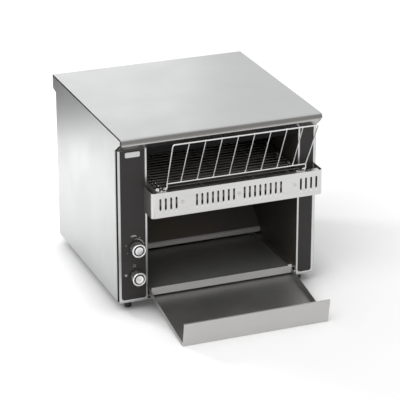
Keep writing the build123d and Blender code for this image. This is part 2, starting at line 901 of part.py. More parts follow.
gearbox_x = (gearbox_face - gearbox_size[0], gearbox_face)
gearbox_z = motor_z + gearbox_rise
with BuildPart() as gearmotor:
    with BuildSketch(beside(gearbox_x[0])):
        with Locations((motor_y, gearbox_z)):
            RectangleRounded(gearbox_size[1], gearbox_size[2], gearbox_corner)
    extrude(amount=gearbox_size[0])
    rod_x(
        (gearbox_face - motor_shaft_depth, gearbox_face),
        motor_y,
        motor_z,
        motor_shaft_radius + running_gap,
        mode=Mode.SUBTRACT,
    )
    rod_x((gearbox_x[0] - motor_can_length, gearbox_x[0]), motor_y, gearbox_z, motor_can_radius)
save(gearmotor, "gearmotor")

with BuildPart() as motor_bracket:
    with BuildSketch(beside(gearbox_face)):
        plate_top = gearbox_z + gearbox_size[2] / 2 + bracket_margin
        with Locations((motor_y, middle((pan_floor, plate_top)))):
            Rectangle(gearbox_size[1] + 2 * bracket_margin, plate_top - pan_floor)
        with Locations((motor_y, motor_z)):
            Circle(bracket_hole, mode=Mode.SUBTRACT)
    extrude(amount=bracket_sheet)
    slab(
        (gearbox_face - gearbox_size[0], gearbox_face),
        (motor_y - gearbox_size[1] / 2, motor_y + gearbox_size[1] / 2),
        (pan_floor, pan_floor + bracket_sheet),
    )
save(motor_bracket, "motor_bracket")

# ================================================================ heat shield and load rack
shield_middle = middle(shield_x)
slot_places = (
    shield_x[0] + slot_end_insets[0],
    shield_middle + slot_middle_offsets[0],
    shield_middle + slot_middle_offsets[1],
    shield_x[1] - slot_end_insets[1],
)
rivet_places = (
    slot_places[0] + rivet_offset,
    middle(slot_places[1:3]),
    slot_places[3] - rivet_offset,
)
with BuildPart() as front_heat_shield:
    with BuildSketch(Plane.XY.offset(sill + shield_foot)):
        with BuildLine():
            FilletPolyline(
                (shield_x[0], front - overlay_thickness),
                (shield_x[0], shield_front),
                (shield_x[1], shield_front),
                (shield_x[1], front),
                radius=shield_corner,
            )
            offset(amount=sheet, side=Side.LEFT)
        make_face()
    extrude(amount=shield_height)
    slab(
        (wall_left + panel_gap, shield_x[1] - shield_corner),
        (shield_front + sheet, shield_front + shelf_depth),
        (shelf_top - sheet, shelf_top),
    )
    for count, place in zip(slot_counts, slot_places):
        with BuildSketch(facing(shield_front)):
            with Locations((place, shelf_top - slot_drop)):
                with GridLocations(slot_pitch, 0, count, 1):
                    SlotOverall(slot_length, slot_width, rotation=90)
        extrude(amount=-sheet, mode=Mode.SUBTRACT)
save(front_heat_shield, "front_heat_shield")

with BuildPart() as shield_rivets:
    with BuildSketch(facing(shield_front)):
        with Locations(*[(x, shelf_top - slot_drop) for x in rivet_places]):
            Circle(rivet_radius)
    extrude(amount=rivet_head)
save(shield_rivets, "shield_rivets")

pivot_y = front - rack_setback
pivot_z = shelf_top + rack_pivot_rise
rack_foot_z = pivot_z + rack_leg
rack_top_y = pivot_y - rack_length * sin(radians(rack_lean))
rack_top_z = rack_foot_z + rack_length * cos(radians(rack_lean))
rack_x = (wall_left + rack_left_gap, wall_right + rack_right_reach)
rack_bar_pitch = (rack_x[1] - rack_x[0] - 2 * rack_bar_margin) / (rack_bar_count - 1)

with BuildPart() as load_rack:
    with BuildLine() as rack_frame:
        FilletPolyline(
            (rack_x[0] - rack_pin, pivot_y, pivot_z),
            (rack_x[0], pivot_y, pivot_z),
            (rack_x[0], pivot_y, rack_foot_z),
            (rack_x[0] - rack_flare, rack_top_y, rack_top_z),
            (rack_x[1] + rack_flare, rack_top_y, rack_top_z),
            (rack_x[1], pivot_y, rack_foot_z),
            (rack_x[1], pivot_y, pivot_z),
            (rack_x[1] - rack_pin, pivot_y, pivot_z),
            radius=[2 * rack_wire, rack_knee, rack_corner, rack_corner, rack_knee, 2 * rack_wire],
        )
    with BuildSketch(Plane(origin=rack_frame.line @ 0, z_dir=rack_frame.line % 0)):
        Circle(rack_wire)
    sweep()
    bar((rack_x[0], pivot_y, rack_foot_z), (rack_x[1], pivot_y, rack_foot_z), rack_wire)
    reach = (rack_length + rack_bar_tip) / rack_length
    for i in range(rack_bar_count):
        x = rack_x[0] + rack_bar_margin + i * rack_bar_pitch
        bar(
            (x, pivot_y, rack_foot_z),
            (x, pivot_y + reach * (rack_top_y - pivot_y), rack_foot_z + reach * (rack_top_z - rack_foot_z)),
            rack_bar,
        )
save(load_rack, "load_rack")

with BuildPart() as rack_brackets:
    for leg in rack_x:
        tab = (leg - tab_gap - sheet, leg - tab_gap)
        slab(tab, (pivot_y - tab_width / 2, pivot_y + tab_width / 2), (shelf_top, pivot_z))
        rod_x(tab, pivot_y, pivot_z, tab_width / 2)
        slab(
            (tab[0] - tab_foot, tab[0]),
            (pivot_y - tab_width / 2, pivot_y + tab_width / 2),
            (shelf_top, shelf_top + sheet),
        )
        rod_x(tab, pivot_y, pivot_z, rack_wire + running_gap, mode=Mode.SUBTRACT)
save(rack_brackets, "rack_brackets")

# ================================================================ trays
tray_x = (wall_left - tray_left_lap, wall_right - tray_right_gap)
hook_y = front + hook_rod_setback
tray_plane = Plane(
    origin=(0, hook_y, hook_z),
    x_dir=(1, 0, 0),
    z_dir=(0, -sin(radians(tray_tilt)), cos(radians(tray_tilt))),
)
tray_side_plane = Plane(
    origin=(tray_x[0], hook_y, hook_z),
    x_dir=(0, cos(radians(tray_tilt)), sin(radians(tray_tilt))),
    z_dir=(1, 0, 0),
)
flange_outline = (
    (-tray_length, tray_lift),
    (-tray_flange_stop, tray_lift),
    (-tray_flange_stop, tray_lift + tray_flange_rear),
    (-tray_length, tray_lift + tray_flange_front),
)
with BuildPart(tray_plane) as toast_tray:
    slab(tray_x, (-tray_length, -tray_flange_stop), (tray_lift, tray_lift + tray_sheet))
    slab(
        (tray_x[0] + tray_tail_inset, tray_x[1] - tray_tail_inset),
        (-tray_flange_stop, tray_tail),
        (tray_lift, tray_lift + tray_sheet),
    )
    slab(tray_x, (-tray_length, -tray_length + tray_sheet), (tray_lift, tray_lift + tray_wall))
    slab(
        tray_x,
        (-tray_length, -tray_length + tray_hem),
        (tray_lift + tray_wall - tray_sheet, tray_lift + tray_wall),
    )
    for hook in (tray_x[0] + hook_inset, tray_x[1] - hook_inset):
        hook_x = (hook - hook_width / 2, hook + hook_width / 2)
        rod_x(hook_x, 0, 0, hook_rod_radius + hook_gap + hook_wall)
        slab(hook_x, (-hook_wall, hook_wall), (0, tray_lift))
        rod_x(hook_x, 0, 0, hook_rod_radius + hook_gap, mode=Mode.SUBTRACT)
        slab(
            hook_x,
            (-2 * hook_rod_radius, 0),
            (-2 * hook_rod_radius, -hook_rod_radius / 2),
            mode=Mode.SUBTRACT,
        )
    for shift in (0, tray_x[1] - tray_x[0] - tray_sheet):
        with BuildSketch(tray_side_plane.offset(shift)):
            Polygon(*flange_outline, align=None)
        extrude(amount=tray_sheet)
save(toast_tray, "toast_tray")

with BuildPart() as tray_hook_rod:
    rod_x((wall_left, wall_right), hook_y, hook_z, hook_rod_radius)
save(tray_hook_rod, "tray_hook_rod")

landing_x = (tray_x[0] + tray_sheet + landing_gap, tray_x[1] - tray_sheet - landing_gap)
landing_z = sill + landing_height
ledge_z = (sill + ledge_foot, sill + ledge_foot + ledge_height)
landing_y = (front - landing_reach, front - landing_reach + landing_length)
with BuildPart() as landing_tray:
    slab(landing_x, landing_y, (landing_z, landing_z + tray_sheet))
    slab(landing_x, (landing_y[0], landing_y[0] + tray_sheet), ledge_z)
    slab(
        (landing_x[1] - ledge_tab_length, landing_x[1]),
        (landing_y[0], landing_y[0] + tray_sheet),
        (ledge_z[1], ledge_z[1] + ledge_tab_height),
    )
    for edge in ((landing_x[0], landing_x[0] + tray_sheet), (landing_x[1] - tray_sheet, landing_x[1])):
        slab(edge, landing_y, (landing_z, landing_z + landing_flange))
save(landing_tray, "landing_tray")

runner_z = landing_z - runner_gap
runner_y = (front + return_depth, landing_y[1] + runner_width)
with BuildPart() as tray_runners:
    slab((wall_left, landing_x[0] + runner_width), runner_y, (runner_z - runner_sheet, runner_z))
    slab(
        (wall_left, wall_left + runner_sheet),
        runner_y,
        (runner_z - runner_sheet - runner_leg, runner_z - runner_sheet),
    )
    slab((landing_x[1] - runner_width, wall_right), runner_y, (runner_z - runner_sheet, runner_z))
    slab(
        (wall_right - runner_sheet, wall_right),
        runner_y,
        (runner_z - runner_sheet - runner_leg, runner_z - runner_sheet),
    )
    fence = landing_x[1] + landing_gap
    slab((fence, fence + runner_sheet), runner_y, (runner_z, runner_z + landing_flange))
save(tray_runners, "tray_runners")

# ================================================================ controls
overlay_face = front - overlay_thickness
knob_face = overlay_face - knob_gap


def knob(z):
    """A ribbed grip with a rounded rim, a ring groove, a flat cap and an index mark."""
    tip = knob_face - knob_length
    rim_back = tip + rim_length
    rim_inside = z + knob_radius - rim_width
    with BuildSketch(beside(knob_x)) as profile:
        with BuildLine():
            Polyline(
                (tip + cap_drop, z),
                (knob_face, z),
                (knob_face, z + grip_radius),
                (rim_back, z + grip_radius),
            )
            FilletPolyline(
                (rim_back, z + grip_radius),
                (rim_back - rim_round / 2, z + knob_radius),
                (tip, z + knob_radius),
                (tip, rim_inside),
                (tip + cap_groove_depth, rim_inside),
                radius=rim_round,
            )
            Polyline(
                (tip + cap_groove_depth, rim_inside),
                (tip + cap_groove_depth, z + cap_radius),
                (tip + cap_drop, z + cap_radius),
                (tip + cap_drop, z),
            )
        make_face()
    revolve(profile.sketch, axis=Axis((knob_x, 0, z), (0, 1, 0)))
    with BuildSketch(facing(knob_face)) as ribs:
        with Locations((knob_x, z)):
            with PolarLocations(grip_radius, rib_count):
                Circle(rib_depth)
    extrude(ribs.sketch, amount=knob_length - rim_length, mode=Mode.SUBTRACT)
    slab(
        (knob_x - index_width / 2, knob_x + index_width / 2),
        (tip, tip + index_depth),
        (rim_inside, z + knob_radius),
        mode=Mode.SUBTRACT,
    )
    rod_y(knob_x, (knob_face - knob_length / 2, knob_face), z, spindle_radius, mode=Mode.SUBTRACT)


def spindle(z):
    """The shaft between a knob and its control."""
    rod_y(knob_x, (knob_face - knob_length / 2, front + control_depth / 2), z, spindle_radius)


with BuildPart() as speed_knob:
    knob(speed_z)
save(speed_knob, "speed_knob")

with BuildPart() as speed_spindle:
    spindle(speed_z)
save(speed_spindle, "speed_spindle")

with BuildPart() as selector_knob:
    knob(selector_z)
save(selector_knob, "selector_knob")

with BuildPart() as selector_spindle:
    spindle(selector_z)
save(selector_spindle, "selector_spindle")

with BuildPart() as speed_potentiometer:
    rod_y(knob_x, (front + sheet, front + sheet + control_depth), speed_z, control_radius)
    rod_y(knob_x, (overlay_face, front + sheet), speed_z, neck_radius)
    rod_y(
        knob_x,
        (overlay_face, front + control_depth / 2),
        speed_z,
        spindle_radius + running_gap,
        mode=Mode.SUBTRACT,
    )
save(speed_potentiometer, "speed_potentiometer")

with BuildPart() as selector_switch:
    slab(
        (knob_x - switch_size[0] / 2, knob_x + switch_size[0] / 2),
        (front + sheet, front + sheet + control_depth),
        (selector_z - switch_size[1] / 2, selector_z + switch_size[1] / 2),
    )
    rod_y(knob_x, (overlay_face, front + sheet), selector_z, neck_radius)
    rod_y(
        knob_x,
        (overlay_face, front + control_depth / 2),
        selector_z,
        spindle_radius + running_gap,
        mode=Mode.SUBTRACT,
    )
save(selector_switch, "selector_switch")

board_y = (front + board_start, front + board_start + board_size[1])
board_x = (bay_middle - board_size[0] / 2, bay_middle + board_size[0] / 2)
board_z = pan_floor + board_height
board_top = board_z + board_size[2]
with BuildPart() as control_board:
    slab(board_x, board_y, (board_z, board_top))
    with Locations((bay_middle - board_size[0] / 4, board_y[0] + board_size[1] / 4, board_top)):
        Box(*relay_size, align=(Align.CENTER, Align.CENTER, Align.MIN))
    with Locations((bay_middle + board_size[0] / 4, middle(board_y), board_top)):
        Box(*heat_sink_size, align=(Align.CENTER, Align.CENTER, Align.MIN))
    with Locations((bay_middle - board_size[0] / 4, board_y[1] - board_size[1] / 4, board_top)):
        Cylinder(capacitor_radius, capacitor_height, align=(Align.CENTER, Align.CENTER, Align.MIN))
save(control_board, "control_board")

with BuildPart() as board_standoffs:
    with BuildSketch(Plane.XY.offset(pan_floor)):
        with Locations((bay_middle, middle(board_y))):
            with GridLocations(board_size[0] - 2 * board_corner, board_size[1] - 2 * board_corner, 2, 2):
                Circle(standoff_radius)
    extrude(amount=board_height)
save(board_standoffs, "board_standoffs")

terminal_y = (board_y[1] + terminal_gap, board_y[1] + terminal_gap + terminal_size[1])
with BuildPart() as terminal_block:
    slab(
        (bay_middle - terminal_size[0] / 2, bay_middle + terminal_size[0] / 2),
        terminal_y,
        (pan_floor, pan_floor + terminal_size[2]),
    )
    with BuildSketch(Plane.XY.offset(pan_floor + terminal_size[2])):
        with Locations((bay_middle, middle(terminal_y))):
            with GridLocations(terminal_size[0] / terminal_count, terminal_size[1] / 2, terminal_count, 2):
                Circle(terminal_screw)
    extrude(amount=-terminal_size[2] / 2, mode=Mode.SUBTRACT)
save(terminal_block, "terminal_block")

# ================================================================ rear
fan_z = sill + fan_height
fan_y = (back - sheet - fan_depth, back - sheet)
fan_plane = facing(fan_y[0])
with BuildPart() as fan_frame:
    with BuildSketch(facing(fan_y[1])):
        with Locations((bay_middle, fan_z)):
            RectangleRounded(fan_size, fan_size, fan_corner)
            Circle(fan_bore, mode=Mode.SUBTRACT)
            with GridLocations(fan_hole_pitch, fan_hole_pitch, 2, 2):
                Circle(fan_screw, mode=Mode.SUBTRACT)
    extrude(amount=fan_depth)
    with BuildSketch(fan_plane):
        with Locations((bay_middle, fan_z)):
            with PolarLocations(fan_bore / 2, fan_strut_count):
                Rectangle(fan_bore + fan_strut, fan_strut)
            Circle(rotor_hub)
    extrude(amount=-fan_strut)
    rod_y(bay_middle, (fan_y[0], fan_y[0] + fan_strut + rotor_depth), fan_z, fan_pin)
save(fan_frame, "fan_frame")

rotor_y = (fan_y[0] + fan_strut + rotor_gap, fan_y[0] + fan_strut + rotor_gap + rotor_depth)
with BuildPart() as fan_rotor:
    rod_y(bay_middle, rotor_y, fan_z, rotor_hub)
    with Locations(Plane(origin=(bay_middle, middle(rotor_y), fan_z), x_dir=(1, 0, 0), z_dir=(0, -1, 0))):
        with PolarLocations(middle((rotor_hub - blade_root, rotor_reach)), blade_count):
            Box(rotor_reach - rotor_hub + blade_root, blade_sheet, blade_chord, rotation=(blade_pitch, 0, 0))
    rod_y(bay_middle, rotor_y, fan_z, fan_pin + running_gap, mode=Mode.SUBTRACT)
save(fan_rotor, "fan_rotor")

with BuildPart() as fan_guard:
    with BuildSketch(facing(back)):
        with Locations((bay_middle, fan_z)):
            for radius in guard_rings:
                Circle(radius + guard_wire / 2)
                Circle(radius - guard_wire / 2, mode=Mode.SUBTRACT)
            with PolarLocations(0, 2, start_angle=45, angular_range=180):
                Rectangle(fan_hole_pitch * 2**0.5, guard_wire)
            with GridLocations(fan_hole_pitch, fan_hole_pitch, 2, 2):
                Circle(guard_eye)
    extrude(amount=-guard_wire)
save(fan_guard, "fan_guard")

gland_z = sill + gland_height
with BuildPart() as cord_gland:
    with BuildSketch(facing(back)):
        with Locations((bay_middle, gland_z)):
            RegularPolygon(gland_nut, 6)
    extrude(amount=-gland_nut_length)
    with BuildSketch(facing(back - sheet)):
        with Locations((bay_middle, gland_z)):
            RegularPolygon(gland_nut, 6)
    extrude(amount=gland_nut_length)
    rod_y(bay_middle, (back - sheet, back + gland_length), gland_z, gland_thread)
    fillet(
        cord_gland.edges().filter_by(GeomType.CIRCLE).sort_by(Axis.Y)[-1],
        radius=(gland_thread - gland_bore) * gland_round,
    )
    rod_y(
        bay_middle,
        (back - sheet - gland_nut_length, back + gland_length),
        gland_z,
        gland_bore,
        mode=Mode.SUBTRACT,
    )
save(cord_gland, "cord_gland")

with BuildPart() as rear_screws:
    with BuildSketch(facing(back)):
        with Locations((0, sill + screw_height)):
            with GridLocations(2 * (inner - screw_inset), screw_span / 2, 2, 3):
                Circle(screw_radius)
    extrude(amount=screw_length)
    with BuildSketch(facing(back)):
        with Locations((0, sill + screw_height)):
            with GridLocations(2 * (inner - screw_inset), screw_span / 2, 2, 3):
                Circle(screw_head)
    extrude(amount=-screw_head_height)
save(rear_screws, "rear_screws")

# ================================================================ feet
foot_pitch = (body_width - 2 * foot_inset_x, body_depth - 2 * foot_inset_y)
foot_middle = (0, middle((front, back)))
with BuildPart() as rubber_feet:
    with Locations((0, foot_middle[1], 0)):
        with GridLocations(*foot_pitch, 2, 2):
            Cone(foot_radius, foot_top_radius, foot_height, align=(Align.CENTER, Align.CENTER, Align.MIN))
            with Locations((0, 0, foot_height)):
                Cylinder(
                    stud_radius,
                    stud_depth,
                    align=(Align.CENTER, Align.CENTER, Align.MAX),
                    mode=Mode.SUBTRACT,
                )
save(rubber_feet, "rubber_feet")

with BuildPart() as foot_studs:
    with BuildSketch(Plane.XY.offset(foot_height - stud_depth)):
        with Locations(foot_middle):
            with GridLocations(*foot_pitch, 2, 2):
                Circle(stud_radius)
    extrude(amount=stud_depth + sheet + nut_height + sheet)
    with BuildSketch(Plane.XY.offset(pan_floor)):
        with Locations(foot_middle):
            with GridLocations(*foot_pitch, 2, 2):
                RegularPolygon(nut_radius, 6)
    extrude(amount=nut_height)
save(foot_studs, "foot_studs")
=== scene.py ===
import json
import math

import bmesh
import bpy
from mathutils import Matrix, Vector


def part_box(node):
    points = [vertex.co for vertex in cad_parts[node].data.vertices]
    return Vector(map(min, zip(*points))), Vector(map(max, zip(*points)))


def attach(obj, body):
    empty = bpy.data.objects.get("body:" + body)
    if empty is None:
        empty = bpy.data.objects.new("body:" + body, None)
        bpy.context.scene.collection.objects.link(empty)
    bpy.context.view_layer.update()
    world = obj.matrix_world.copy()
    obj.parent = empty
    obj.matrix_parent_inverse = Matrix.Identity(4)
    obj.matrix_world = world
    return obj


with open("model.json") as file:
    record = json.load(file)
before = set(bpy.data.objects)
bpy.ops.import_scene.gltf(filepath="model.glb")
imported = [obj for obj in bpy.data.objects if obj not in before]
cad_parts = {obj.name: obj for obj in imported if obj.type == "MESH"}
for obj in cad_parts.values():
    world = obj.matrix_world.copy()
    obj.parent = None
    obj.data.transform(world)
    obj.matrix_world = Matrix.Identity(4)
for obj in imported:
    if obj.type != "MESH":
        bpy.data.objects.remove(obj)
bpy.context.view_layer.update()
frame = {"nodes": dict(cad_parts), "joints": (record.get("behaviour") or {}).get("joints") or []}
nodes = frame["nodes"]
joints = {joint["name"]: joint for joint in frame["joints"]}
MM = 0.001

# ---------------------------------------------------------------- camera
AZIMUTH = math.radians(-21.548)
ELEVATION = math.radians(22.267)
DISTANCE = 4.64043
TARGET = Vector((0.00333, 0.00504, 0.1875))
LENS = 184.50

toward = Vector(
    (
        math.sin(AZIMUTH) * math.cos(ELEVATION),
        -math.cos(AZIMUTH) * math.cos(ELEVATION),
        math.sin(ELEVATION),
    )
)
camera_data = bpy.data.cameras.new("camera")
camera_data.sensor_width = 36.0
camera_data.lens = LENS
camera = bpy.data.objects.new("camera", camera_data)
bpy.context.scene.collection.objects.link(camera)
camera.location = TARGET + toward * DISTANCE
camera.rotation_euler = (-toward).to_track_quat("-Z", "Y").to_euler()
bpy.context.scene.camera = camera

# ---------------------------------------------------------------- places on the frame
cover_low, cover_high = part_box("top_cover")
shield_low, shield_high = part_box("front_heat_shield")
overlay_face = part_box("control_overlay")[0].y
speed_axis = Vector(joints["speed_turn"]["pos_m"])
selector_axis = Vector(joints["selector_turn"]["pos_m"])
knob_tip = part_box("speed_knob")[0].y
rack_pivot = Vector(joints["rack_turn"]["pos_m"])
tray_hook = Vector(joints["toast_tray_lift"]["pos_m"])
landing_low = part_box("landing_tray")[0]
chute_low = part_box("toast_chute")[0]
FACING_USER = Matrix.Rotation(math.radians(90), 3, "X")
FACING_BACK = Matrix.Rotation(math.radians(-90), 3, "X")
FACING_LEFT = Matrix.Rotation(math.radians(-90), 3, "Y")
UPRIGHT = Matrix.Identity(3)


# ---------------------------------------------------------------- material steps
class Finish:
    """A Principled material and the nodes that give it its grain, variation and relief."""

    def __init__(self, name, colour, metallic, roughness):
        self.material = bpy.data.materials.new(name)
        self.material.use_nodes = True
        self.tree = self.material.node_tree
        self.shader = self.tree.nodes["Principled BSDF"]
        self.colour = colour
        self.shader.inputs["Base Color"].default_value = (*colour, 1.0)
        self.shader.inputs["Metallic"].default_value = metallic
        self.shader.inputs["Roughness"].default_value = roughness
        self.place = self.node("ShaderNodeTexCoord").outputs["Object"]
        self.mixed = None
        self.normal = None

    def node(self, kind, **settings):
        made = self.tree.nodes.new(kind)
        for name, value in settings.items():
            setattr(made, name, value)
        return made

    def link(self, output, target):
        self.tree.links.new(output, target)

    def noise(self, scale, detail=3.0, roughness=0.5):
        """Noise in the object's own space; scale is cells per metre along X, Y and Z."""
        mapping = self.node("ShaderNodeMapping")
        self.link(self.place, mapping.inputs["Vector"])
        mapping.inputs["Scale"].default_value = scale
        noise = self.node("ShaderNodeTexNoise")
        noise.inputs["Scale"].default_value = 1.0
        noise.inputs["Detail"].default_value = detail
        noise.inputs["Roughness"].default_value = roughness
        self.link(mapping.outputs["Vector"], noise.inputs["Vector"])
        return noise.outputs["Fac"]

    def along(self, axis):
        """One coordinate of the piece, in metres."""
        split = self.node("ShaderNodeSeparateXYZ")
        self.link(self.place, split.inputs["Vector"])
        return split.outputs[axis]

    def reach(self, origin, direction):
        """How far a point lies from origin along a direction, in metres."""
        shift = self.node("ShaderNodeVectorMath", operation="SUBTRACT")
        self.link(self.place, shift.inputs[0])
        shift.inputs[1].default_value = origin
        dot = self.node("ShaderNodeVectorMath", operation="DOT_PRODUCT")
        self.link(shift.outputs["Vector"], dot.inputs[0])
        dot.inputs[1].default_value = direction
        return dot.outputs["Value"]

    def radius(self, centre):
        """Distance from a line along Y through centre, in metres."""
        flat = self.node("ShaderNodeVectorMath", operation="MULTIPLY")
        self.link(self.place, flat.inputs[0])
        flat.inputs[1].default_value = (1.0, 0.0, 1.0)
        far = self.node("ShaderNodeVectorMath", operation="DISTANCE")
        self.link(flat.outputs["Vector"], far.inputs[0])
        far.inputs[1].default_value = (centre.x, 0.0, centre.z)
        return far.outputs["Value"]

    def spread(self, value, low, high, start=0.3, end=0.7):
        """Maps a value from start..end to low..high."""
        ramp = self.node("ShaderNodeMapRange")
        self.link(value, ramp.inputs["Value"])
        ramp.inputs["From Min"].default_value = start
        ramp.inputs["From Max"].default_value = end
        ramp.inputs["To Min"].default_value = low
        ramp.inputs["To Max"].default_value = high
        return ramp.outputs["Result"]

    def both(self, first, second):
        """Where two masks meet."""
        product = self.node("ShaderNodeMath", operation="MULTIPLY")
        self.link(first, product.inputs[0])
        self.link(second, product.inputs[1])
        return product.outputs[0]

    def tint(self, mask, colour):
        """Mixes another colour over what is there by a mask."""
        mix = self.node("ShaderNodeMix", data_type="RGBA")
        self.link(mask, mix.inputs["Factor"])
        if self.mixed is None:
            mix.inputs["A"].default_value = (*self.colour, 1.0)
        else:
            self.link(self.mixed, mix.inputs["A"])
        mix.inputs["B"].default_value = (*colour, 1.0)
        self.mixed = mix.outputs["Result"]
        self.link(self.mixed, self.shader.inputs["Base Color"])
        return self

    def rough(self, mask, low, high, start=0.3, end=0.7):
        self.link(self.spread(mask, low, high, start, end), self.shader.inputs["Roughness"])

    def relief(self, height, distance, strength=1.0):
        """Adds bump in metres on top of what is there."""
        bump = self.node("ShaderNodeBump")
        bump.inputs["Distance"].default_value = distance
        bump.inputs["Strength"].default_value = strength
        self.link(height, bump.inputs["Height"])
        if self.normal is not None:
            self.link(self.normal, bump.inputs["Normal"])
        self.normal = bump.outputs["Normal"]
        self.link(self.normal, self.shader.inputs["Normal"])

    def dress(self, *names):
        for name in names:
            slots = nodes[name].data.materials
            slots.clear()
            slots.append(self.material)
        return self


def scaled(colour, factor):
    return [value * factor for value in colour]


def brushed(name, colour, roughness, grain, shade=0.9):
    """Sheet metal with a brushed grain along one axis, soft smudges and faint rolling marks."""
    finish = Finish(name, colour, 1.0, roughness)
    lines = finish.noise([16.0 if axis == grain else 1800.0 for axis in "XYZ"], 4.0, 0.6)
    broad = finish.noise([4.0 if axis == grain else 160.0 for axis in "XYZ"], 2.0)
    smudge = finish.noise((7.0, 7.0, 7.0), 4.0, 0.6)
    finish.tint(finish.spread(lines, 0.0, 1.0), scaled(colour, shade))
    finish.tint(finish.spread(broad, 0.0, 0.3), scaled(colour, shade))
    finish.tint(finish.spread(smudge, 0.0, 0.35, 0.4, 0.7), scaled(colour, shade))
    finish.rough(smudge, roughness - 0.03, roughness + 0.05)
    finish.relief(lines, 0.000012, 0.5)
    return finish


def blacken(finish, axis, low, high):
    """Paints the ends of a sheet black beyond two places along an axis: a painted shadow for the dark
    gaps at its ends.
    """
    place = finish.along(axis)
    finish.tint(finish.spread(place, 1.0, 0.0, low, low + EDGE_FADE), SHADOW_BLACK)
    finish.tint(finish.spread(place, 0.0, 1.0, high - EDGE_FADE, high), SHADOW_BLACK)
    return finish


def moulded(name, colour, roughness, grain_size=0.0006, depth=0.00004, gloss=0.5):
    """Moulded plastic or rubber with a fine erosion texture and uneven gloss."""
    finish = Finish(name, colour, 0.0, roughness)
    finish.shader.inputs["Specular IOR Level"].default_value = gloss
    cell = 1.0 / grain_size
    grain = finish.noise((cell, cell, cell), 2.0)
    patch = finish.noise((30.0, 30.0, 30.0), 3.0)
    finish.tint(finish.spread(patch, 0.0, 0.6), scaled(colour, 1.25))
    finish.rough(patch, roughness - 0.05, roughness + 0.06)
    finish.relief(grain, depth, 0.7)
    return finish


def darkened(name, colour, metallic, roughness, tint):
    """Sheet that heat and crumbs have darkened, browner in patches."""
    finish = Finish(name, colour, metallic, roughness)
    patch = finish.noise((14.0, 14.0, 14.0), 5.0, 0.6)
    speck = finish.noise((400.0, 400.0, 400.0), 2.0)
    finish.tint(finish.spread(patch, 0.0, 0.8, 0.4, 0.7), tint)
    finish.tint(finish.spread(speck, 0.0, 0.35, 0.55, 0.7), scaled(tint, 0.6))
    finish.rough(patch, roughness - 0.07, roughness + 0.1)
    finish.relief(speck, 0.00005, 0.5)
    return finish


def turned(name, colour, roughness, axis="X"):
    """Turned, drawn or plated metal with fine rings across one axis."""
    finish = Finish(name, colour, 1.0, roughness)
    rings = finish.noise([3500.0 if each == axis else 60.0 for each in "XYZ"], 2.0)
    patch = finish.noise((60.0, 60.0, 60.0), 3.0)
    finish.tint(finish.spread(patch, 0.0, 0.7), scaled(colour, 0.85))
    finish.rough(patch, roughness - 0.04, roughness + 0.07)
    finish.relief(rings, 0.000015, 0.6)
    return finish


def tray_with_shaded_floor(name, colour, metallic, wall_start, origin, direction):
    """Tray steel with stains and crumbs; its floor is painted darker than its wall, which begins beyond
    a distance along a direction: painted shade.
    """
    finish = brushed(name, colour, 0.42, "X")
    finish.shader.inputs["Metallic"].default_value = metallic
    wall_end = wall_start + TRAY_WALL_FADE
    wall = finish.spread(finish.reach(origin, direction), 0.0, 1.0, wall_start, wall_end)
    crumbs = finish.noise((260.0, 260.0, 260.0), 3.0, 0.6)
    stain = finish.noise((11.0, 11.0, 11.0), 5.0, 0.6)
    finish.tint(finish.spread(stain, 0.0, 0.4, 0.45, 0.65), scaled(colour, 0.7))
    finish.tint(finish.spread(crumbs, 0.0, 0.2, 0.6, 0.7), scaled(colour, 0.5))
    finish.tint(wall, TRAY_WALL_COLOUR)
    return finish


# ---------------------------------------------------------------- finishes of the CAD pieces
# Distances from a piece's own edges at which a painted shade or painted highlight on it starts or fades
# out.
EDGE_BAND = 0.3 * MM
EDGE_FADE = 0.1 * MM
LIP_FRONT = 1.4 * MM
LIP_BACK = 3.8 * MM
LIP_HEM_FOOT = 11.5 * MM
LIP_HEM_TOP = 9.0 * MM
LIP_HEM_SHARE = 0.3  # of the lip's shade that stays on its hem
FOLD = 4.2 * MM
FOLD_FADE = 0.3 * MM
SIDE_SPLIT = 1.0 * MM
SOFFIT_GAP = 2.2 * MM
HEADER_START = 1.6 * MM
HEADER_END = 1.2 * MM
CHUTE_HEM = 2.6 * MM
CHUTE_HEM_FADE = 0.4 * MM
TRAY_WALL_START = 213.0 * MM
TRAY_WALL_FADE = 0.3 * MM
LEDGE_DEPTH = 1.0 * MM
SHADOW_BLACK = (0.012, 0.012, 0.012)
STEEL = (0.54, 0.543, 0.545)
TRAY_WALL_COLOUR = (0.53, 0.526, 0.518)
CHUTE_HEM_COLOUR = (0.6, 0.59, 0.57)
LIP_COLOUR = (0.2, 0.195, 0.185)
PRINT_COLOUR = (0.5, 0.48, 0.46)
TRAY_TILT = math.radians(9.2)

cover_steel = brushed("cover_steel", STEEL, 0.36, "X")
# Painted shade: the front face of the cover's lip is painted dark for its shade and dark reflection,
# fading out over the bend; its hem keeps LIP_HEM_SHARE of that painted shade.
lip_range = (cover_low.y + LIP_FRONT, cover_low.y + LIP_BACK)
lip = cover_steel.spread(cover_steel.along("Y"), 1.0, 0.0, *lip_range)
hem_range = (cover_high.z - LIP_HEM_FOOT, cover_high.z - LIP_HEM_TOP)
above_hem = cover_steel.spread(cover_steel.along("Z"), LIP_HEM_SHARE, 1.0, *hem_range)
cover_steel.tint(cover_steel.both(lip, above_hem), LIP_COLOUR)
# Painted shadow: the cover's ends are painted black for the dark grooves beside the side panels.
blacken(cover_steel, "X", cover_low.x + EDGE_BAND, cover_high.x - EDGE_BAND).dress("top_cover")
panel_steel = brushed("side_steel", STEEL, 0.38, "Z")
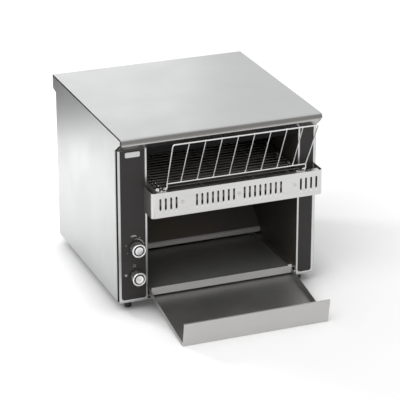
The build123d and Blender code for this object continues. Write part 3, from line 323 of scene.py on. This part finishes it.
# Painted shadow: the parts of each side panel folded inward more than FOLD from its outer face are
# painted black, for the shadow gap beside the front panel.
for low, high in (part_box("side_panel_left"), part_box("side_panel_right")):
    side = -1 if low.x < 0 else 1
    outer = high.x if side > 0 else low.x
    folded = (outer - side * FOLD, outer - side * (FOLD - FOLD_FADE))
    within = panel_steel.spread(panel_steel.along("X"), 1.0, 0.0, *folded)
    own_side = panel_steel.spread(panel_steel.along("X"), 0.0, 1.0, 0.0, side * SIDE_SPLIT)
    panel_steel.tint(panel_steel.both(within, own_side), SHADOW_BLACK)
panel_steel.dress("side_panel_left", "side_panel_right")
front_low, front_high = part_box("front_panel")
front_steel = brushed("front_steel", (0.68, 0.68, 0.675), 0.3, "Z")
# Painted shadow: the front panel's side edges are painted black where the gaps beside the side panels
# fall.
blacken(front_steel, "X", front_low.x + EDGE_BAND, front_high.x - EDGE_BAND).dress("front_panel")
brushed("rear_steel", scaled(STEEL, 0.95), 0.4, "X").dress("rear_panel", "base_pan")
brushed("shield_steel", (0.72, 0.717, 0.71), 0.34, "X").dress("front_heat_shield")
# Painted shade: the toast tray's floor is painted darker than its front wall.
tray_with_shaded_floor(
    "toast_tray_steel",
    (0.38, 0.376, 0.368),
    1.0,
    TRAY_WALL_START,
    tray_hook,
    (0.0, -math.cos(TRAY_TILT), -math.sin(TRAY_TILT)),
).dress("toast_tray")
# Painted shade: the landing tray is painted dark under the shield, and its front edge at the ledge
# takes the lighter wall colour as painted light.
tray_with_shaded_floor(
    "landing_tray_steel",
    (0.19, 0.188, 0.184),
    0.3,
    0.0,
    landing_low + Vector((0, LEDGE_DEPTH, 0)),
    (0.0, -1.0, 0.0),
).dress("landing_tray")
darkened("chamber_steel", (0.06, 0.056, 0.051), 0.3, 0.5, (0.085, 0.065, 0.045)).dress(
    "chamber_wall_left", "chamber_wall_right", "chamber_ceiling", "rear_deflector"
)
chute_steel = darkened("chute_steel", (0.15, 0.142, 0.132), 0.4, 0.42, (0.16, 0.13, 0.1))
# Painted highlight: the chute's front hem is painted lighter than the rest of the chute.
chute_hem_range = (chute_low.y + CHUTE_HEM, chute_low.y + CHUTE_HEM + CHUTE_HEM_FADE)
chute_hem = chute_steel.spread(chute_steel.along("Y"), 1.0, 0.0, *chute_hem_range)
chute_steel.tint(chute_hem, CHUTE_HEM_COLOUR).dress("toast_chute")
darkened("reflector_steel", (0.2, 0.19, 0.17), 0.8, 0.4, (0.16, 0.12, 0.08)).dress(
    "upper_reflector", "lower_reflector"
)
darkened("element_sheath", (0.07, 0.065, 0.06), 0.6, 0.5, (0.13, 0.09, 0.06)).dress(
    "upper_elements", "lower_elements"
)
moulded("bead_ceramic", (0.78, 0.76, 0.7), 0.4).dress("element_beads")
turned("belt_wire", (0.17, 0.165, 0.155), 0.34).dress("conveyor_belt", "belt_rails")
turned("rack_wire", (0.78, 0.78, 0.78), 0.2, "Z").dress("load_rack")
turned("bushing_bronze", (0.5, 0.36, 0.2), 0.4).dress("shaft_bushings")
turned("shaft_steel", (0.55, 0.54, 0.52), 0.3).dress(
    "drive_shaft", "idler_shaft", "motor_shaft", "tray_hook_rod"
)
turned("spindle_steel", (0.6, 0.6, 0.6), 0.3, "Y").dress("speed_spindle", "selector_spindle")
turned("sprocket_steel", (0.3, 0.29, 0.28), 0.42).dress(
    "drive_sprockets", "idler_sprockets", "driven_sprocket", "motor_sprocket", "drive_chain"
)
moulded("motor_paint", (0.1, 0.1, 0.105), 0.45, 0.0012).dress("gearmotor")
turned("bracket_zinc", (0.6, 0.6, 0.57), 0.38, "Z").dress(
    "motor_bracket", "tray_runners", "rack_brackets", "board_standoffs"
)
turned("rivet_steel", (0.6, 0.597, 0.59), 0.34, "Y").dress("shield_rivets")
turned("screw_steel", (0.62, 0.62, 0.62), 0.28, "Y").dress("rear_screws", "foot_studs")
moulded("overlay_film", (0.024, 0.0215, 0.021), 0.5, 0.0003, 0.00002, 0.35).dress(
    "control_overlay", "right_overlay"
)
soffit_low, soffit_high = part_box("front_soffit")
soffit_steel = brushed("soffit_steel", (0.52, 0.51, 0.5), 0.27, "X")
# Painted shade: the soffit's header at the front panel is painted black, and its ends are painted black
# for the gaps beside it.
header_range = (front_low.y - HEADER_START, front_low.y - HEADER_END)
header = soffit_steel.spread(soffit_steel.along("Y"), 0.0, 1.0, *header_range)
soffit_steel.tint(header, SHADOW_BLACK)
blacken(soffit_steel, "X", soffit_low.x + SOFFIT_GAP, soffit_high.x - SOFFIT_GAP).dress("front_soffit")
brushed("badge_plate", (0.62, 0.62, 0.62), 0.25, "X").dress("blank_badge")
moulded("control_plastic", (0.04, 0.04, 0.045), 0.45).dress(
    "speed_potentiometer", "selector_switch", "terminal_block"
)
moulded("board_mask", (0.02, 0.12, 0.05), 0.35).dress("control_board")
moulded("fan_plastic", (0.025, 0.025, 0.027), 0.42).dress("fan_frame", "fan_rotor", "cord_gland")
turned("guard_wire", (0.66, 0.66, 0.66), 0.25, "Y").dress("fan_guard")
moulded("foot_rubber", (0.022, 0.022, 0.022), 0.62, 0.0008).dress("rubber_feet")

# ---------------------------------------------------------------- knobs
RIM_BACK = 5.3 * MM
RIM_FADE = 0.4 * MM
RIM_INSIDE = 11.8 * MM
CAP_EDGE = 9.4 * MM
GROOVE_START = 0.4 * MM
GROOVE_FULL = 0.9 * MM
GROOVE_FADE = 0.3 * MM
ROOT_START = 19 * MM
ROOT_END = 24 * MM


def knob_finish(name, axis):
    """Bright rim and cap, a ring groove between them painted black as painted shade, a duller ribbed
    grip and a painted shade at its root by the panel.
    """
    finish = turned(name, (0.97, 0.97, 0.97), 0.28, "Y")
    depth = finish.along("Y")
    radius = finish.radius(axis)
    grip = finish.spread(depth, 0.0, 1.0, knob_tip + RIM_BACK, knob_tip + RIM_BACK + RIM_FADE)
    root = finish.spread(depth, 0.0, 0.9, knob_tip + ROOT_START, knob_tip + ROOT_END)
    groove = finish.both(
        finish.spread(radius, 1.0, 0.0, RIM_INSIDE, RIM_INSIDE + GROOVE_FADE),
        finish.both(
            finish.spread(radius, 0.0, 1.0, CAP_EDGE - GROOVE_FADE, CAP_EDGE),
            finish.spread(depth, 0.0, 1.0, knob_tip + GROOVE_START, knob_tip + GROOVE_FULL),
        ),
    )
    finish.tint(grip, (0.75, 0.75, 0.75))
    # Painted shade: the root tint darkens the grip where it meets the panel, and the groove tint
    # darkens the inside of the ring groove.
    finish.tint(root, (0.16, 0.16, 0.16))
    finish.tint(groove, (0.015, 0.015, 0.015))
    return finish


knob_finish("speed_knob_metal", speed_axis).dress("speed_knob")
knob_finish("selector_knob_metal", selector_axis).dress("selector_knob")


# ---------------------------------------------------------------- new pieces
def settle(thing, body, finish):
    """Puts a new piece into the scene, dresses it and lets it ride on a CAD body."""
    bpy.context.scene.collection.objects.link(thing)
    thing.data.materials.append(finish.material)
    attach(thing, body)
    return thing


def mesh_piece(name, shape, body, finish):
    """A mesh piece from a bmesh, smooth except at its corners."""
    bmesh.ops.recalc_face_normals(shape, faces=shape.faces)
    mesh = bpy.data.meshes.new(name)
    shape.to_mesh(mesh)
    shape.free()
    mesh.shade_smooth()
    mesh.set_sharp_from_angle(angle=math.radians(35))
    return settle(bpy.data.objects.new(name, mesh), body, finish)


def lathe(shape, profile, place, turn, sides=40):
    """Adds a turned solid to a bmesh; profile is (radius, along) in metres from its foot to its tip."""
    rings = []
    for radius, along in profile:
        if radius == 0:
            rings.append([shape.verts.new(place + turn @ Vector((0, 0, along)))])
            continue
        ring = []
        for i in range(sides):
            angle = 2 * math.pi * i / sides
            offset = Vector((radius * math.cos(angle), radius * math.sin(angle), along))
            ring.append(shape.verts.new(place + turn @ offset))
        rings.append(ring)
    for low, high in zip(rings, rings[1:]):
        for i in range(sides):
            j = i + 1
            corners = [low[i % len(low)], low[j % len(low)], high[j % len(high)], high[i % len(high)]]
            shape.faces.new(list(dict.fromkeys(corners)))


def prism(shape, outline, place, turn, depth):
    """Adds a straight prism to a bmesh; the outline lies in the turned XY plane."""
    low = [shape.verts.new(place + turn @ Vector((x, y, 0))) for x, y in outline]
    high = [shape.verts.new(place + turn @ Vector((x, y, depth))) for x, y in outline]
    shape.faces.new(low[::-1])
    shape.faces.new(high)
    for i in range(len(outline)):
        j = (i + 1) % len(outline)
        shape.faces.new((low[i], low[j], high[j], high[i]))


def wire_piece(name, runs, thickness, body, finish):
    """A curve piece of open poly runs with a round section."""
    curve = bpy.data.curves.new(name, "CURVE")
    curve.dimensions = "3D"
    curve.bevel_depth = thickness / 2
    curve.bevel_resolution = 3
    curve.use_fill_caps = True
    for run in runs:
        spline = curve.splines.new("POLY")
        spline.points.add(len(run) - 1)
        for point, place in zip(spline.points, run):
            point.co = (*place, 1.0)
    return settle(bpy.data.objects.new(name, curve), body, finish)


def arc(centre, radius, start, end, steps, turn=FACING_USER):
    """Points of an arc in the turned XY plane; angles in degrees, counterclockwise for who faces it."""
    points = []
    for i in range(steps + 1):
        angle = math.radians(start + (end - start) * i / steps)
        points.append(centre + turn @ Vector((radius * math.cos(angle), radius * math.sin(angle), 0)))
    return points


# ---------------------------------------------------------------- caps of the knobs
CAP_RADIUS = 9.0 * MM
CAP_FOOT = 0.35 * MM
CAP_BEVEL = 0.5 * MM
CAP_DOME = 0.25 * MM
CAP_RING = 0.9 * MM
CAP_FLOOR = 0.3 * MM
KNURL_PITCH = 0.9 * MM
KNURL_STEP = 1.4
KNURL_COVER = 1.3
KNURL_SINK = 0.05 * MM
KNURL_HEIGHT = 0.22 * MM
cap_steel = turned("cap_steel", (0.95, 0.95, 0.95), 0.3, "Y")


def domed_cap(name, axis, body):
    """A slightly domed bright disc in the face of a knob."""
    shape = bmesh.new()
    profile = [(CAP_RADIUS, 0.0), (CAP_RADIUS, CAP_BEVEL / 2), (CAP_RADIUS - CAP_BEVEL, CAP_BEVEL)]
    profile += [
        (CAP_RADIUS * share, CAP_BEVEL + CAP_DOME * (1 - share**2)) for share in (0.75, 0.5, 0.25)
    ]
    profile.append((0, CAP_BEVEL + CAP_DOME))
    lathe(shape, profile, Vector((axis.x, knob_tip + CAP_FOOT, axis.z)), FACING_USER)
    mesh_piece(name, shape, body, cap_steel)


def knurled_cap(name, axis, body):
    """A disc with a fine diamond knurl and a plain edge ring."""
    shape = bmesh.new()
    foot = Vector((axis.x, knob_tip + CAP_FOOT, axis.z))
    edge = [(CAP_RADIUS, 0.0), (CAP_RADIUS, CAP_FLOOR), (CAP_RADIUS - 0.4 * MM, CAP_FLOOR + CAP_DOME)]
    edge += [(CAP_RADIUS - CAP_RING, CAP_FLOOR), (0, CAP_FLOOR)]
    lathe(shape, edge, foot, FACING_USER)
    count = int(CAP_RADIUS / KNURL_PITCH) + 1
    half = KNURL_PITCH / 2
    for i in range(-count, count + 1):
        for j in range(-count, count + 1):
            x, y = (i - j) * half * KNURL_STEP, (i + j) * half * KNURL_STEP
            if math.hypot(x, y) + half > CAP_RADIUS - CAP_RING:
                continue
            arm = half * KNURL_COVER
            base = [(x - arm, y), (x, y - arm), (x + arm, y), (x, y + arm)]
            level = CAP_FLOOR - KNURL_SINK
            corners = [shape.verts.new(foot + FACING_USER @ Vector((*at, level))) for at in base]
            peak = shape.verts.new(foot + FACING_USER @ Vector((x, y, CAP_FLOOR + KNURL_HEIGHT)))
            for k in range(4):
                shape.faces.new((corners[k], corners[(k + 1) % 4], peak))
            shape.faces.new(corners[::-1])
    mesh_piece(name, shape, body, cap_steel)


domed_cap("speed_cap", speed_axis, "speed_control")
knurled_cap("selector_cap", selector_axis, "selector_control")

# ---------------------------------------------------------------- print on the control overlay
PRINT_LINE = 0.7 * MM
PRINT_LIFT = 0.05 * MM
NUMBER_RING = 23.0 * MM
NUMBER_HEIGHT = 4.6 * MM
SPEED_NUMBERS = ((-125, "1"), (-75, "2"), (25, "4"), (75, "5"))
SWEEP_RADIUS = 19.0 * MM
SWEEP_STEP = 0.5 * MM
SWEEP_LINE = 0.45 * MM
SWIRL_RISE = 27.0 * MM
SWIRL_SHIFT = 3.8 * MM
SWIRL_WIDTH = 7.5 * MM
SWIRL_NARROWING = 1.6 * MM
SWIRL_PITCH = 1.3 * MM
SWIRL_WAVE = 0.5 * MM
SWIRL_STEPS = 12
print_ink = moulded("print_ink", PRINT_COLOUR, 0.6, 0.0004, 0.00001)
print_face = overlay_face - PRINT_LIFT


def overlay_point(x, z):
    return Vector((x, print_face, z))


def dial_numbers(axis, radius, marks, height):
    """Plain numbers round a knob; marks are (angle from the top, text)."""
    for angle, text in marks:
        turn = math.radians(angle)
        curve = bpy.data.curves.new("dial_number", "FONT")
        curve.body = text
        curve.size = height
        curve.extrude = PRINT_LIFT
        curve.align_x = "CENTER"
        curve.align_y = "CENTER"
        across, rise = radius * math.sin(turn), radius * math.cos(turn)
        thing = bpy.data.objects.new(f"dial_number_{text}", curve)
        thing.location = overlay_point(axis.x + across, axis.z + rise)
        thing.rotation_euler = (math.radians(90), 0, 0)
        settle(thing, "chassis", print_ink)


dial_numbers(speed_axis, NUMBER_RING, SPEED_NUMBERS, NUMBER_HEIGHT)
speed_face = overlay_point(speed_axis.x, speed_axis.z)
sweep_runs = [
    arc(speed_face, SWEEP_RADIUS + SWEEP_STEP * step, 95 - 12 * step, 10 + 6 * step, 16)
    for step in range(3)
]
wire_piece("speed_sweep", sweep_runs, SWEEP_LINE, "chassis", print_ink)
swirl_runs = []
for row in range(3):
    half_width = SWIRL_WIDTH - SWIRL_NARROWING * row
    level = speed_axis.z + SWIRL_RISE + (row - 1) * SWIRL_PITCH
    run = []
    for i in range(SWIRL_STEPS + 1):
        x = speed_axis.x - SWIRL_SHIFT + half_width * (2 * i / SWIRL_STEPS - 1)
        run.append(overlay_point(x, level + SWIRL_WAVE * math.sin(i * 0.9)))
    swirl_runs.append(run)
wire_piece("heat_waves", swirl_runs, PRINT_LINE, "chassis", print_ink)

SQUARE = 2.3 * MM
UPPER_SQUARE_AT = (-2.7 * MM, 24.0 * MM)
LEFT_SQUARE_AT = (-22.8 * MM, 3.3 * MM)


def square_run(x, z):
    corners = ((-1, -1), (1, -1), (1, 1), (-1, 1), (-1, -1), (1, -1))
    return [overlay_point(x + SQUARE * a, z + SQUARE * b) for a, b in corners]


upper_square = (selector_axis.x + UPPER_SQUARE_AT[0], selector_axis.z + UPPER_SQUARE_AT[1])
left_square = (selector_axis.x + LEFT_SQUARE_AT[0], selector_axis.z + LEFT_SQUARE_AT[1])
grill_runs = [square_run(*left_square)]
for row in (-1, 0, 1):
    level = left_square[1] + row * SQUARE / 2
    grill_runs.append([overlay_point(left_square[0] + side * SQUARE, level) for side in (-1, 1)])
wire_piece("bread_icon", [square_run(*upper_square)], PRINT_LINE, "chassis", print_ink)
wire_piece("grill_icon", grill_runs, PRINT_LINE, "chassis", print_ink)

# ---------------------------------------------------------------- painted shadow strips in the gaps beside the front panel
GAP_SHADOW = 0.4 * MM
GAP_SHADOW_START = 1.2 * MM
GAP_SHADOW_DEPTH = 10.4 * MM
GAP_SHADOW_SHORT = 3.0 * MM
# Thin black strips laid in the gaps beside the front panel: a painted shadow.
gap_shadow_black = moulded("gap_shadow_black", (0.008, 0.008, 0.008), 0.85, 0.0006, 0.00002, 0.05)
gap_shadow_back = front_low.y + GAP_SHADOW_DEPTH
gap_shadow_height = front_high.z - front_low.z - GAP_SHADOW_SHORT
gap_shadow_shape = bmesh.new()
for face, side in ((front_low.x, -1), (front_high.x, 1)):
    outline = [
        (face, front_low.y + GAP_SHADOW_START),
        (face + side * GAP_SHADOW, front_low.y + GAP_SHADOW_START + GAP_SHADOW),
        (face + side * GAP_SHADOW, gap_shadow_back - GAP_SHADOW),
        (face, gap_shadow_back),
    ]
    prism(gap_shadow_shape, outline, Vector((0, 0, front_low.z)), UPRIGHT, gap_shadow_height)
mesh_piece("painted_gap_shadows", gap_shadow_shape, "chassis", gap_shadow_black)

# ---------------------------------------------------------------- heat shield and rack details
SLOT_COUNTS = (4, 8, 8, 4)
SLOT_PITCH = 12.4 * MM
SLOT_LENGTH = 27.0 * MM
SLOT_DROP = 27.0 * MM
SLOT_END_INSETS = (38.6 * MM, 34.2 * MM)
SLOT_MIDDLE_OFFSETS = (-53.9 * MM, 58.0 * MM)
CRESCENT_DROP = 5.6 * MM
CRESCENT_RADIUS = 2.3 * MM
CRESCENT_LIFT = 0.05 * MM
CRESCENT_LINE = 1.1 * MM
shield_middle = (shield_low.x + shield_high.x) / 2
slot_places = (
    shield_low.x + SLOT_END_INSETS[0],
    shield_middle + SLOT_MIDDLE_OFFSETS[0],
    shield_middle + SLOT_MIDDLE_OFFSETS[1],
    shield_high.x - SLOT_END_INSETS[1],
)
slot_z = shield_high.z - SLOT_DROP
crescent_z = slot_z - SLOT_LENGTH / 2 - CRESCENT_DROP + CRESCENT_RADIUS
crescents = []
for count, place in zip(SLOT_COUNTS, slot_places):
    for i in range(count):
        x = place + (i - (count - 1) / 2) * SLOT_PITCH
        centre = Vector((x, shield_low.y - CRESCENT_LIFT, crescent_z))
        crescents.append(arc(centre, CRESCENT_RADIUS, 205, 335, 10))
# Painted highlight: bright arcs under each slot stand for light caught on the lower edges of pressed
# dimples.
dimple_highlight_steel = turned("dimple_highlight_steel", (0.95, 0.95, 0.95), 0.5, "Y")
wire_piece("slot_dimple_highlights", crescents, CRESCENT_LINE, "chassis", dimple_highlight_steel)

rack_low, rack_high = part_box("load_rack")
bracket_low, bracket_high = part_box("rack_brackets")
bright_plate = turned("bright_plate", (0.8, 0.8, 0.79), 0.18, "X")


def pin_fittings(name, x, size, body):
    """Washer and acorn nut on the left end of a pin; the profiles are in mm."""
    shape = bmesh.new()
    place = Vector((x, rack_pivot.y, rack_pivot.z))
    washer = [(0, 0), (3.6, 0), (3.6, 0.8), (1.6, 0.8), (0, 0.8)]
    nut = [(0, 0.8), (3.0, 0.8), (3.0, 2.8), (2.6, 3.2), (0, 3.2)]
    dome = [(0, 3.2), (1.9, 3.2), (1.4, 4.3), (0, 4.8)]
    for profile, sides in ((washer, 32), (nut, 6), (dome, 24)):
        sized = [(size * radius * MM, size * along * MM) for radius, along in profile]
        lathe(shape, sized, place, FACING_LEFT, sides)
    mesh_piece(name, shape, body, bright_plate)


LEFT_NUT_INSET = 7.5 * MM
RIGHT_NUT_INSET = 7.6 * MM
BRACKET_NUT_SIZE = 1.4
pin_fittings("left_pin_nut", rack_low.x + LEFT_NUT_INSET, 1.0, "loading_rack")
pin_fittings("right_pin_nut", rack_high.x - RIGHT_NUT_INSET, 1.0, "loading_rack")
pin_fittings("bracket_nut", bracket_low.x, BRACKET_NUT_SIZE, "chassis")

CLIP_COUNT = 6
CLIP_PITCH = 15.5 * MM
CLIP_START = 17.0 * MM
CLIP_LIFT = 1.0 * MM
CLIP_WIRE = 2.0 * MM
CLIP_ROWS = ((9.0 * MM, 4.2 * MM), (16.0 * MM, 3.0 * MM))
CLIP_TURN = FACING_LEFT @ Matrix.Rotation(math.radians(90), 3, "Z")
belt_low, belt_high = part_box("conveyor_belt")
clips = []
for i in range(CLIP_COUNT):
    clip_y = rack_pivot.y + CLIP_START + i * CLIP_PITCH
    for inset, radius in CLIP_ROWS:
        centre = Vector((belt_low.x + inset, clip_y, belt_high.z + CLIP_LIFT))
        clips.append(arc(centre, radius, 15, 165, 8, CLIP_TURN))
wire_piece("belt_edge_clips", clips, CLIP_WIRE, "chassis", bright_plate)


RECESS_LIFT = 0.06 * MM


def pan_screw(shape, place, turn, radius, height):
    """A pan head with a slightly domed top."""
    profile = [(0, 0), (radius, 0), (radius, 0.45 * height), (0.86 * radius, 0.8 * height)]
    profile += [(0.6 * radius, 0.96 * height), (0, height)]
    lathe(shape, profile, place, turn, 28)


def cross_recess(shape, place, turn, radius):
    """A thin black cross laid on the head of a screw: a painted shadow for its cross recess."""
    arm, width = 0.55 * radius, 0.13 * radius
    for wide, high in ((arm, width), (width, arm)):
        outline = ((-wide, -high), (wide, -high), (wide, high), (-wide, high))
        prism(shape, outline, place, turn, RECESS_LIFT)


# Painted shadow: black for the crosses that stand for the screws' recesses.
recess_dark = moulded("recess_shadow", (0.01, 0.01, 0.01), 0.7, 0.0004, 0.00001, 0.1)
LEFT_SCREW_INSET = 7.5 * MM
RIGHT_SCREW_INSET = 16.2 * MM
BRACKET_FOOT = 1.2 * MM
BRACKET_HEAD_RADIUS = 2.6 * MM
BRACKET_HEAD_HEIGHT = 1.7 * MM
RECESS_SINK = 0.04 * MM
bracket_heads = bmesh.new()
bracket_recesses = bmesh.new()
for foot_x in (bracket_low.x + LEFT_SCREW_INSET, bracket_high.x - RIGHT_SCREW_INSET):
    head = Vector((foot_x, rack_pivot.y, shield_high.z + BRACKET_FOOT))
    top = head + Vector((0, 0, BRACKET_HEAD_HEIGHT - RECESS_SINK))
    pan_screw(bracket_heads, head, UPRIGHT, BRACKET_HEAD_RADIUS, BRACKET_HEAD_HEIGHT)
    cross_recess(bracket_recesses, top, UPRIGHT, BRACKET_HEAD_RADIUS)
mesh_piece("bracket_screw_heads", bracket_heads, "chassis", bright_plate)
mesh_piece("bracket_screw_recesses", bracket_recesses, "chassis", recess_dark)

# ---------------------------------------------------------------- rear screws
rear_low, rear_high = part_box("rear_screws")
REAR_HEAD_RADIUS = 4.0 * MM
rear_recesses = bmesh.new()
rear_span = rear_high.z - rear_low.z - 2 * REAR_HEAD_RADIUS
for x in (rear_low.x + REAR_HEAD_RADIUS, rear_high.x - REAR_HEAD_RADIUS):
    for share in (0.0, 0.5, 1.0):
        z = rear_low.z + REAR_HEAD_RADIUS + share * rear_span
        cross_recess(rear_recesses, Vector((x, rear_high.y, z)), FACING_BACK, REAR_HEAD_RADIUS)
mesh_piece("rear_screw_recesses", rear_recesses, "chassis", recess_dark)


# ---------------------------------------------------------------- softened edges of the sheet metal
SHEET_ROUND = 0.25 * MM
TRIM_ROUND = 0.2 * MM
WELD_REACH = 0.002 * MM


def soften(width, *names):
    """A small round on the sharp edges of CAD pieces, so that they catch the light."""
    for name in names:
        weld = nodes[name].modifiers.new("weld", "WELD")
        weld.merge_threshold = WELD_REACH
        bevel = nodes[name].modifiers.new("edge", "BEVEL")
        bevel.width = width
        bevel.segments = 2
        bevel.limit_method = "ANGLE"
        bevel.angle_limit = math.radians(50)
        bevel.harden_normals = True


soften(SHEET_ROUND, "top_cover", "front_heat_shield", "front_panel")
soften(SHEET_ROUND, "side_panel_left", "side_panel_right")
soften(TRIM_ROUND, "landing_tray", "toast_tray", "control_overlay", "right_overlay", "blank_badge")

# ---------------------------------------------------------------- floor and light
FLOOR = 30.0
BACKGROUND_LIFT = 0.06
SKY_LEVEL = 0.74
SUN_LEVEL = 0.36
CONTACT_REACH = 0.1
CONTACT_FRONT = 90 * MM
CONTACT_COLOUR = (0.22, 0.22, 0.22)
floor_mesh = bpy.data.meshes.new("floor")
floor_corners = [(-FLOOR, -FLOOR, 0), (FLOOR, -FLOOR, 0), (FLOOR, FLOOR, 0), (-FLOOR, FLOOR, 0)]
floor_mesh.from_pydata(floor_corners, [], [(0, 1, 2, 3)])
floor = bpy.data.objects.new("floor", floor_mesh)
bpy.context.scene.collection.objects.link(floor)


def seen_rays(tree):
    """1 for the rays that show the background: camera, glossy and transmission rays."""
    path = tree.nodes.new("ShaderNodeLightPath")
    seen = path.outputs["Is Camera Ray"]
    for kind in ("Is Glossy Ray", "Is Transmission Ray"):
        largest = tree.nodes.new("ShaderNodeMath")
        largest.operation = "MAXIMUM"
        tree.links.new(seen, largest.inputs[0])
        tree.links.new(path.outputs[kind], largest.inputs[1])
        seen = largest.outputs[0]
    return seen


def level_for(tree, low, high):
    """A value that is high for the rays that show the background and low for the others."""
    level = tree.nodes.new("ShaderNodeMapRange")
    level.inputs["To Min"].default_value = low
    level.inputs["To Max"].default_value = high
    tree.links.new(seen_rays(tree), level.inputs["Value"])
    return level.outputs["Result"]


paper = Finish("floor_paper", (0.93, 0.93, 0.93), 0.0, 0.95)
paper.shader.inputs["Specular IOR Level"].default_value = 0.0
paper.shader.inputs["Emission Color"].default_value = (1.0, 1.0, 1.0, 1.0)
paper.link(level_for(paper.tree, 0.0, BACKGROUND_LIFT), paper.shader.inputs["Emission Strength"])
# The paper is painted darker where the body stands close above it: a painted contact shadow from
# ambient occlusion, kept off the floor in front of the body.
contact = paper.node("ShaderNodeAmbientOcclusion", samples=8)
contact.inputs["Distance"].default_value = CONTACT_REACH
beside_body = paper.spread(paper.along("Y"), 0.0, 1.0, front_low.y - CONTACT_FRONT, front_low.y)
near_body = paper.spread(contact.outputs["AO"], 1.0, 0.0, 0.0, 1.0)
paper.tint(paper.both(near_body, beside_body), CONTACT_COLOUR)
floor_mesh.materials.append(paper.material)

world = bpy.data.worlds.new("studio")
bpy.context.scene.world = world
world.use_nodes = True
background = world.node_tree.nodes["Background"]
background.inputs["Color"].default_value = (1.0, 1.0, 1.0, 1.0)
world.node_tree.links.new(level_for(world.node_tree, SKY_LEVEL, 1.0), background.inputs["Strength"])


def aim(thing, place, target):
    """Puts a lamp in the scene, pointing at a target."""
    bpy.context.scene.collection.objects.link(thing)
    thing.location = place
    thing.rotation_euler = (Vector(target) - Vector(place)).to_track_quat("-Z", "Y").to_euler()
    thing.visible_camera = False


def softbox(name, place, target, size, watts):
    lamp = bpy.data.lights.new(name, "AREA")
    lamp.shape = "RECTANGLE"
    lamp.size, lamp.size_y = size
    lamp.energy = watts
    box = bpy.data.objects.new(name, lamp)
    aim(box, place, target)
    return box


sun = bpy.data.lights.new("sun", "SUN")
sun.angle = math.radians(45)
sun.energy = SUN_LEVEL * math.pi
aim(bpy.data.objects.new("sun", sun), (-2.2, -1.2, 3.0), (0, 0, 0))
softbox("cover_glow", (0.0, 1.3, 0.85), (-0.08, 0.2, 0.41), (1.0, 0.45), 0.85)
floor_glow = softbox("floor_glow", (-0.8, 0.95, 0.7), (-0.47, 0.62, 0.0), (0.3, 0.3), 7.5)
floor_glow.visible_glossy = False


def flag(name, corners):
    """A dark card beside the set, which only the metal reflects."""
    card_mesh = bpy.data.meshes.new(name)
    card_mesh.from_pydata(corners, [], [(0, 1, 2, 3)])
    card_mesh.materials.append(moulded("flag_cloth", (0.02, 0.02, 0.02), 0.9).material)
    card = bpy.data.objects.new(name, card_mesh)
    bpy.context.scene.collection.objects.link(card)
    card.visible_camera = card.visible_diffuse = card.visible_shadow = card.visible_transmission = False


FLAG_Y = 1.05
FLAG_X = (-1.6, -0.34)
FLAG_TOP = 0.9
flag(
    "flag_behind",
    [
        (FLAG_X[0], FLAG_Y, 0.0),
        (FLAG_X[1], FLAG_Y, 0.0),
        (FLAG_X[1], FLAG_Y, FLAG_TOP),
        (FLAG_X[0], FLAG_Y, FLAG_TOP),
    ],
)

scene = bpy.context.scene
scene.view_settings.view_transform = "Standard"
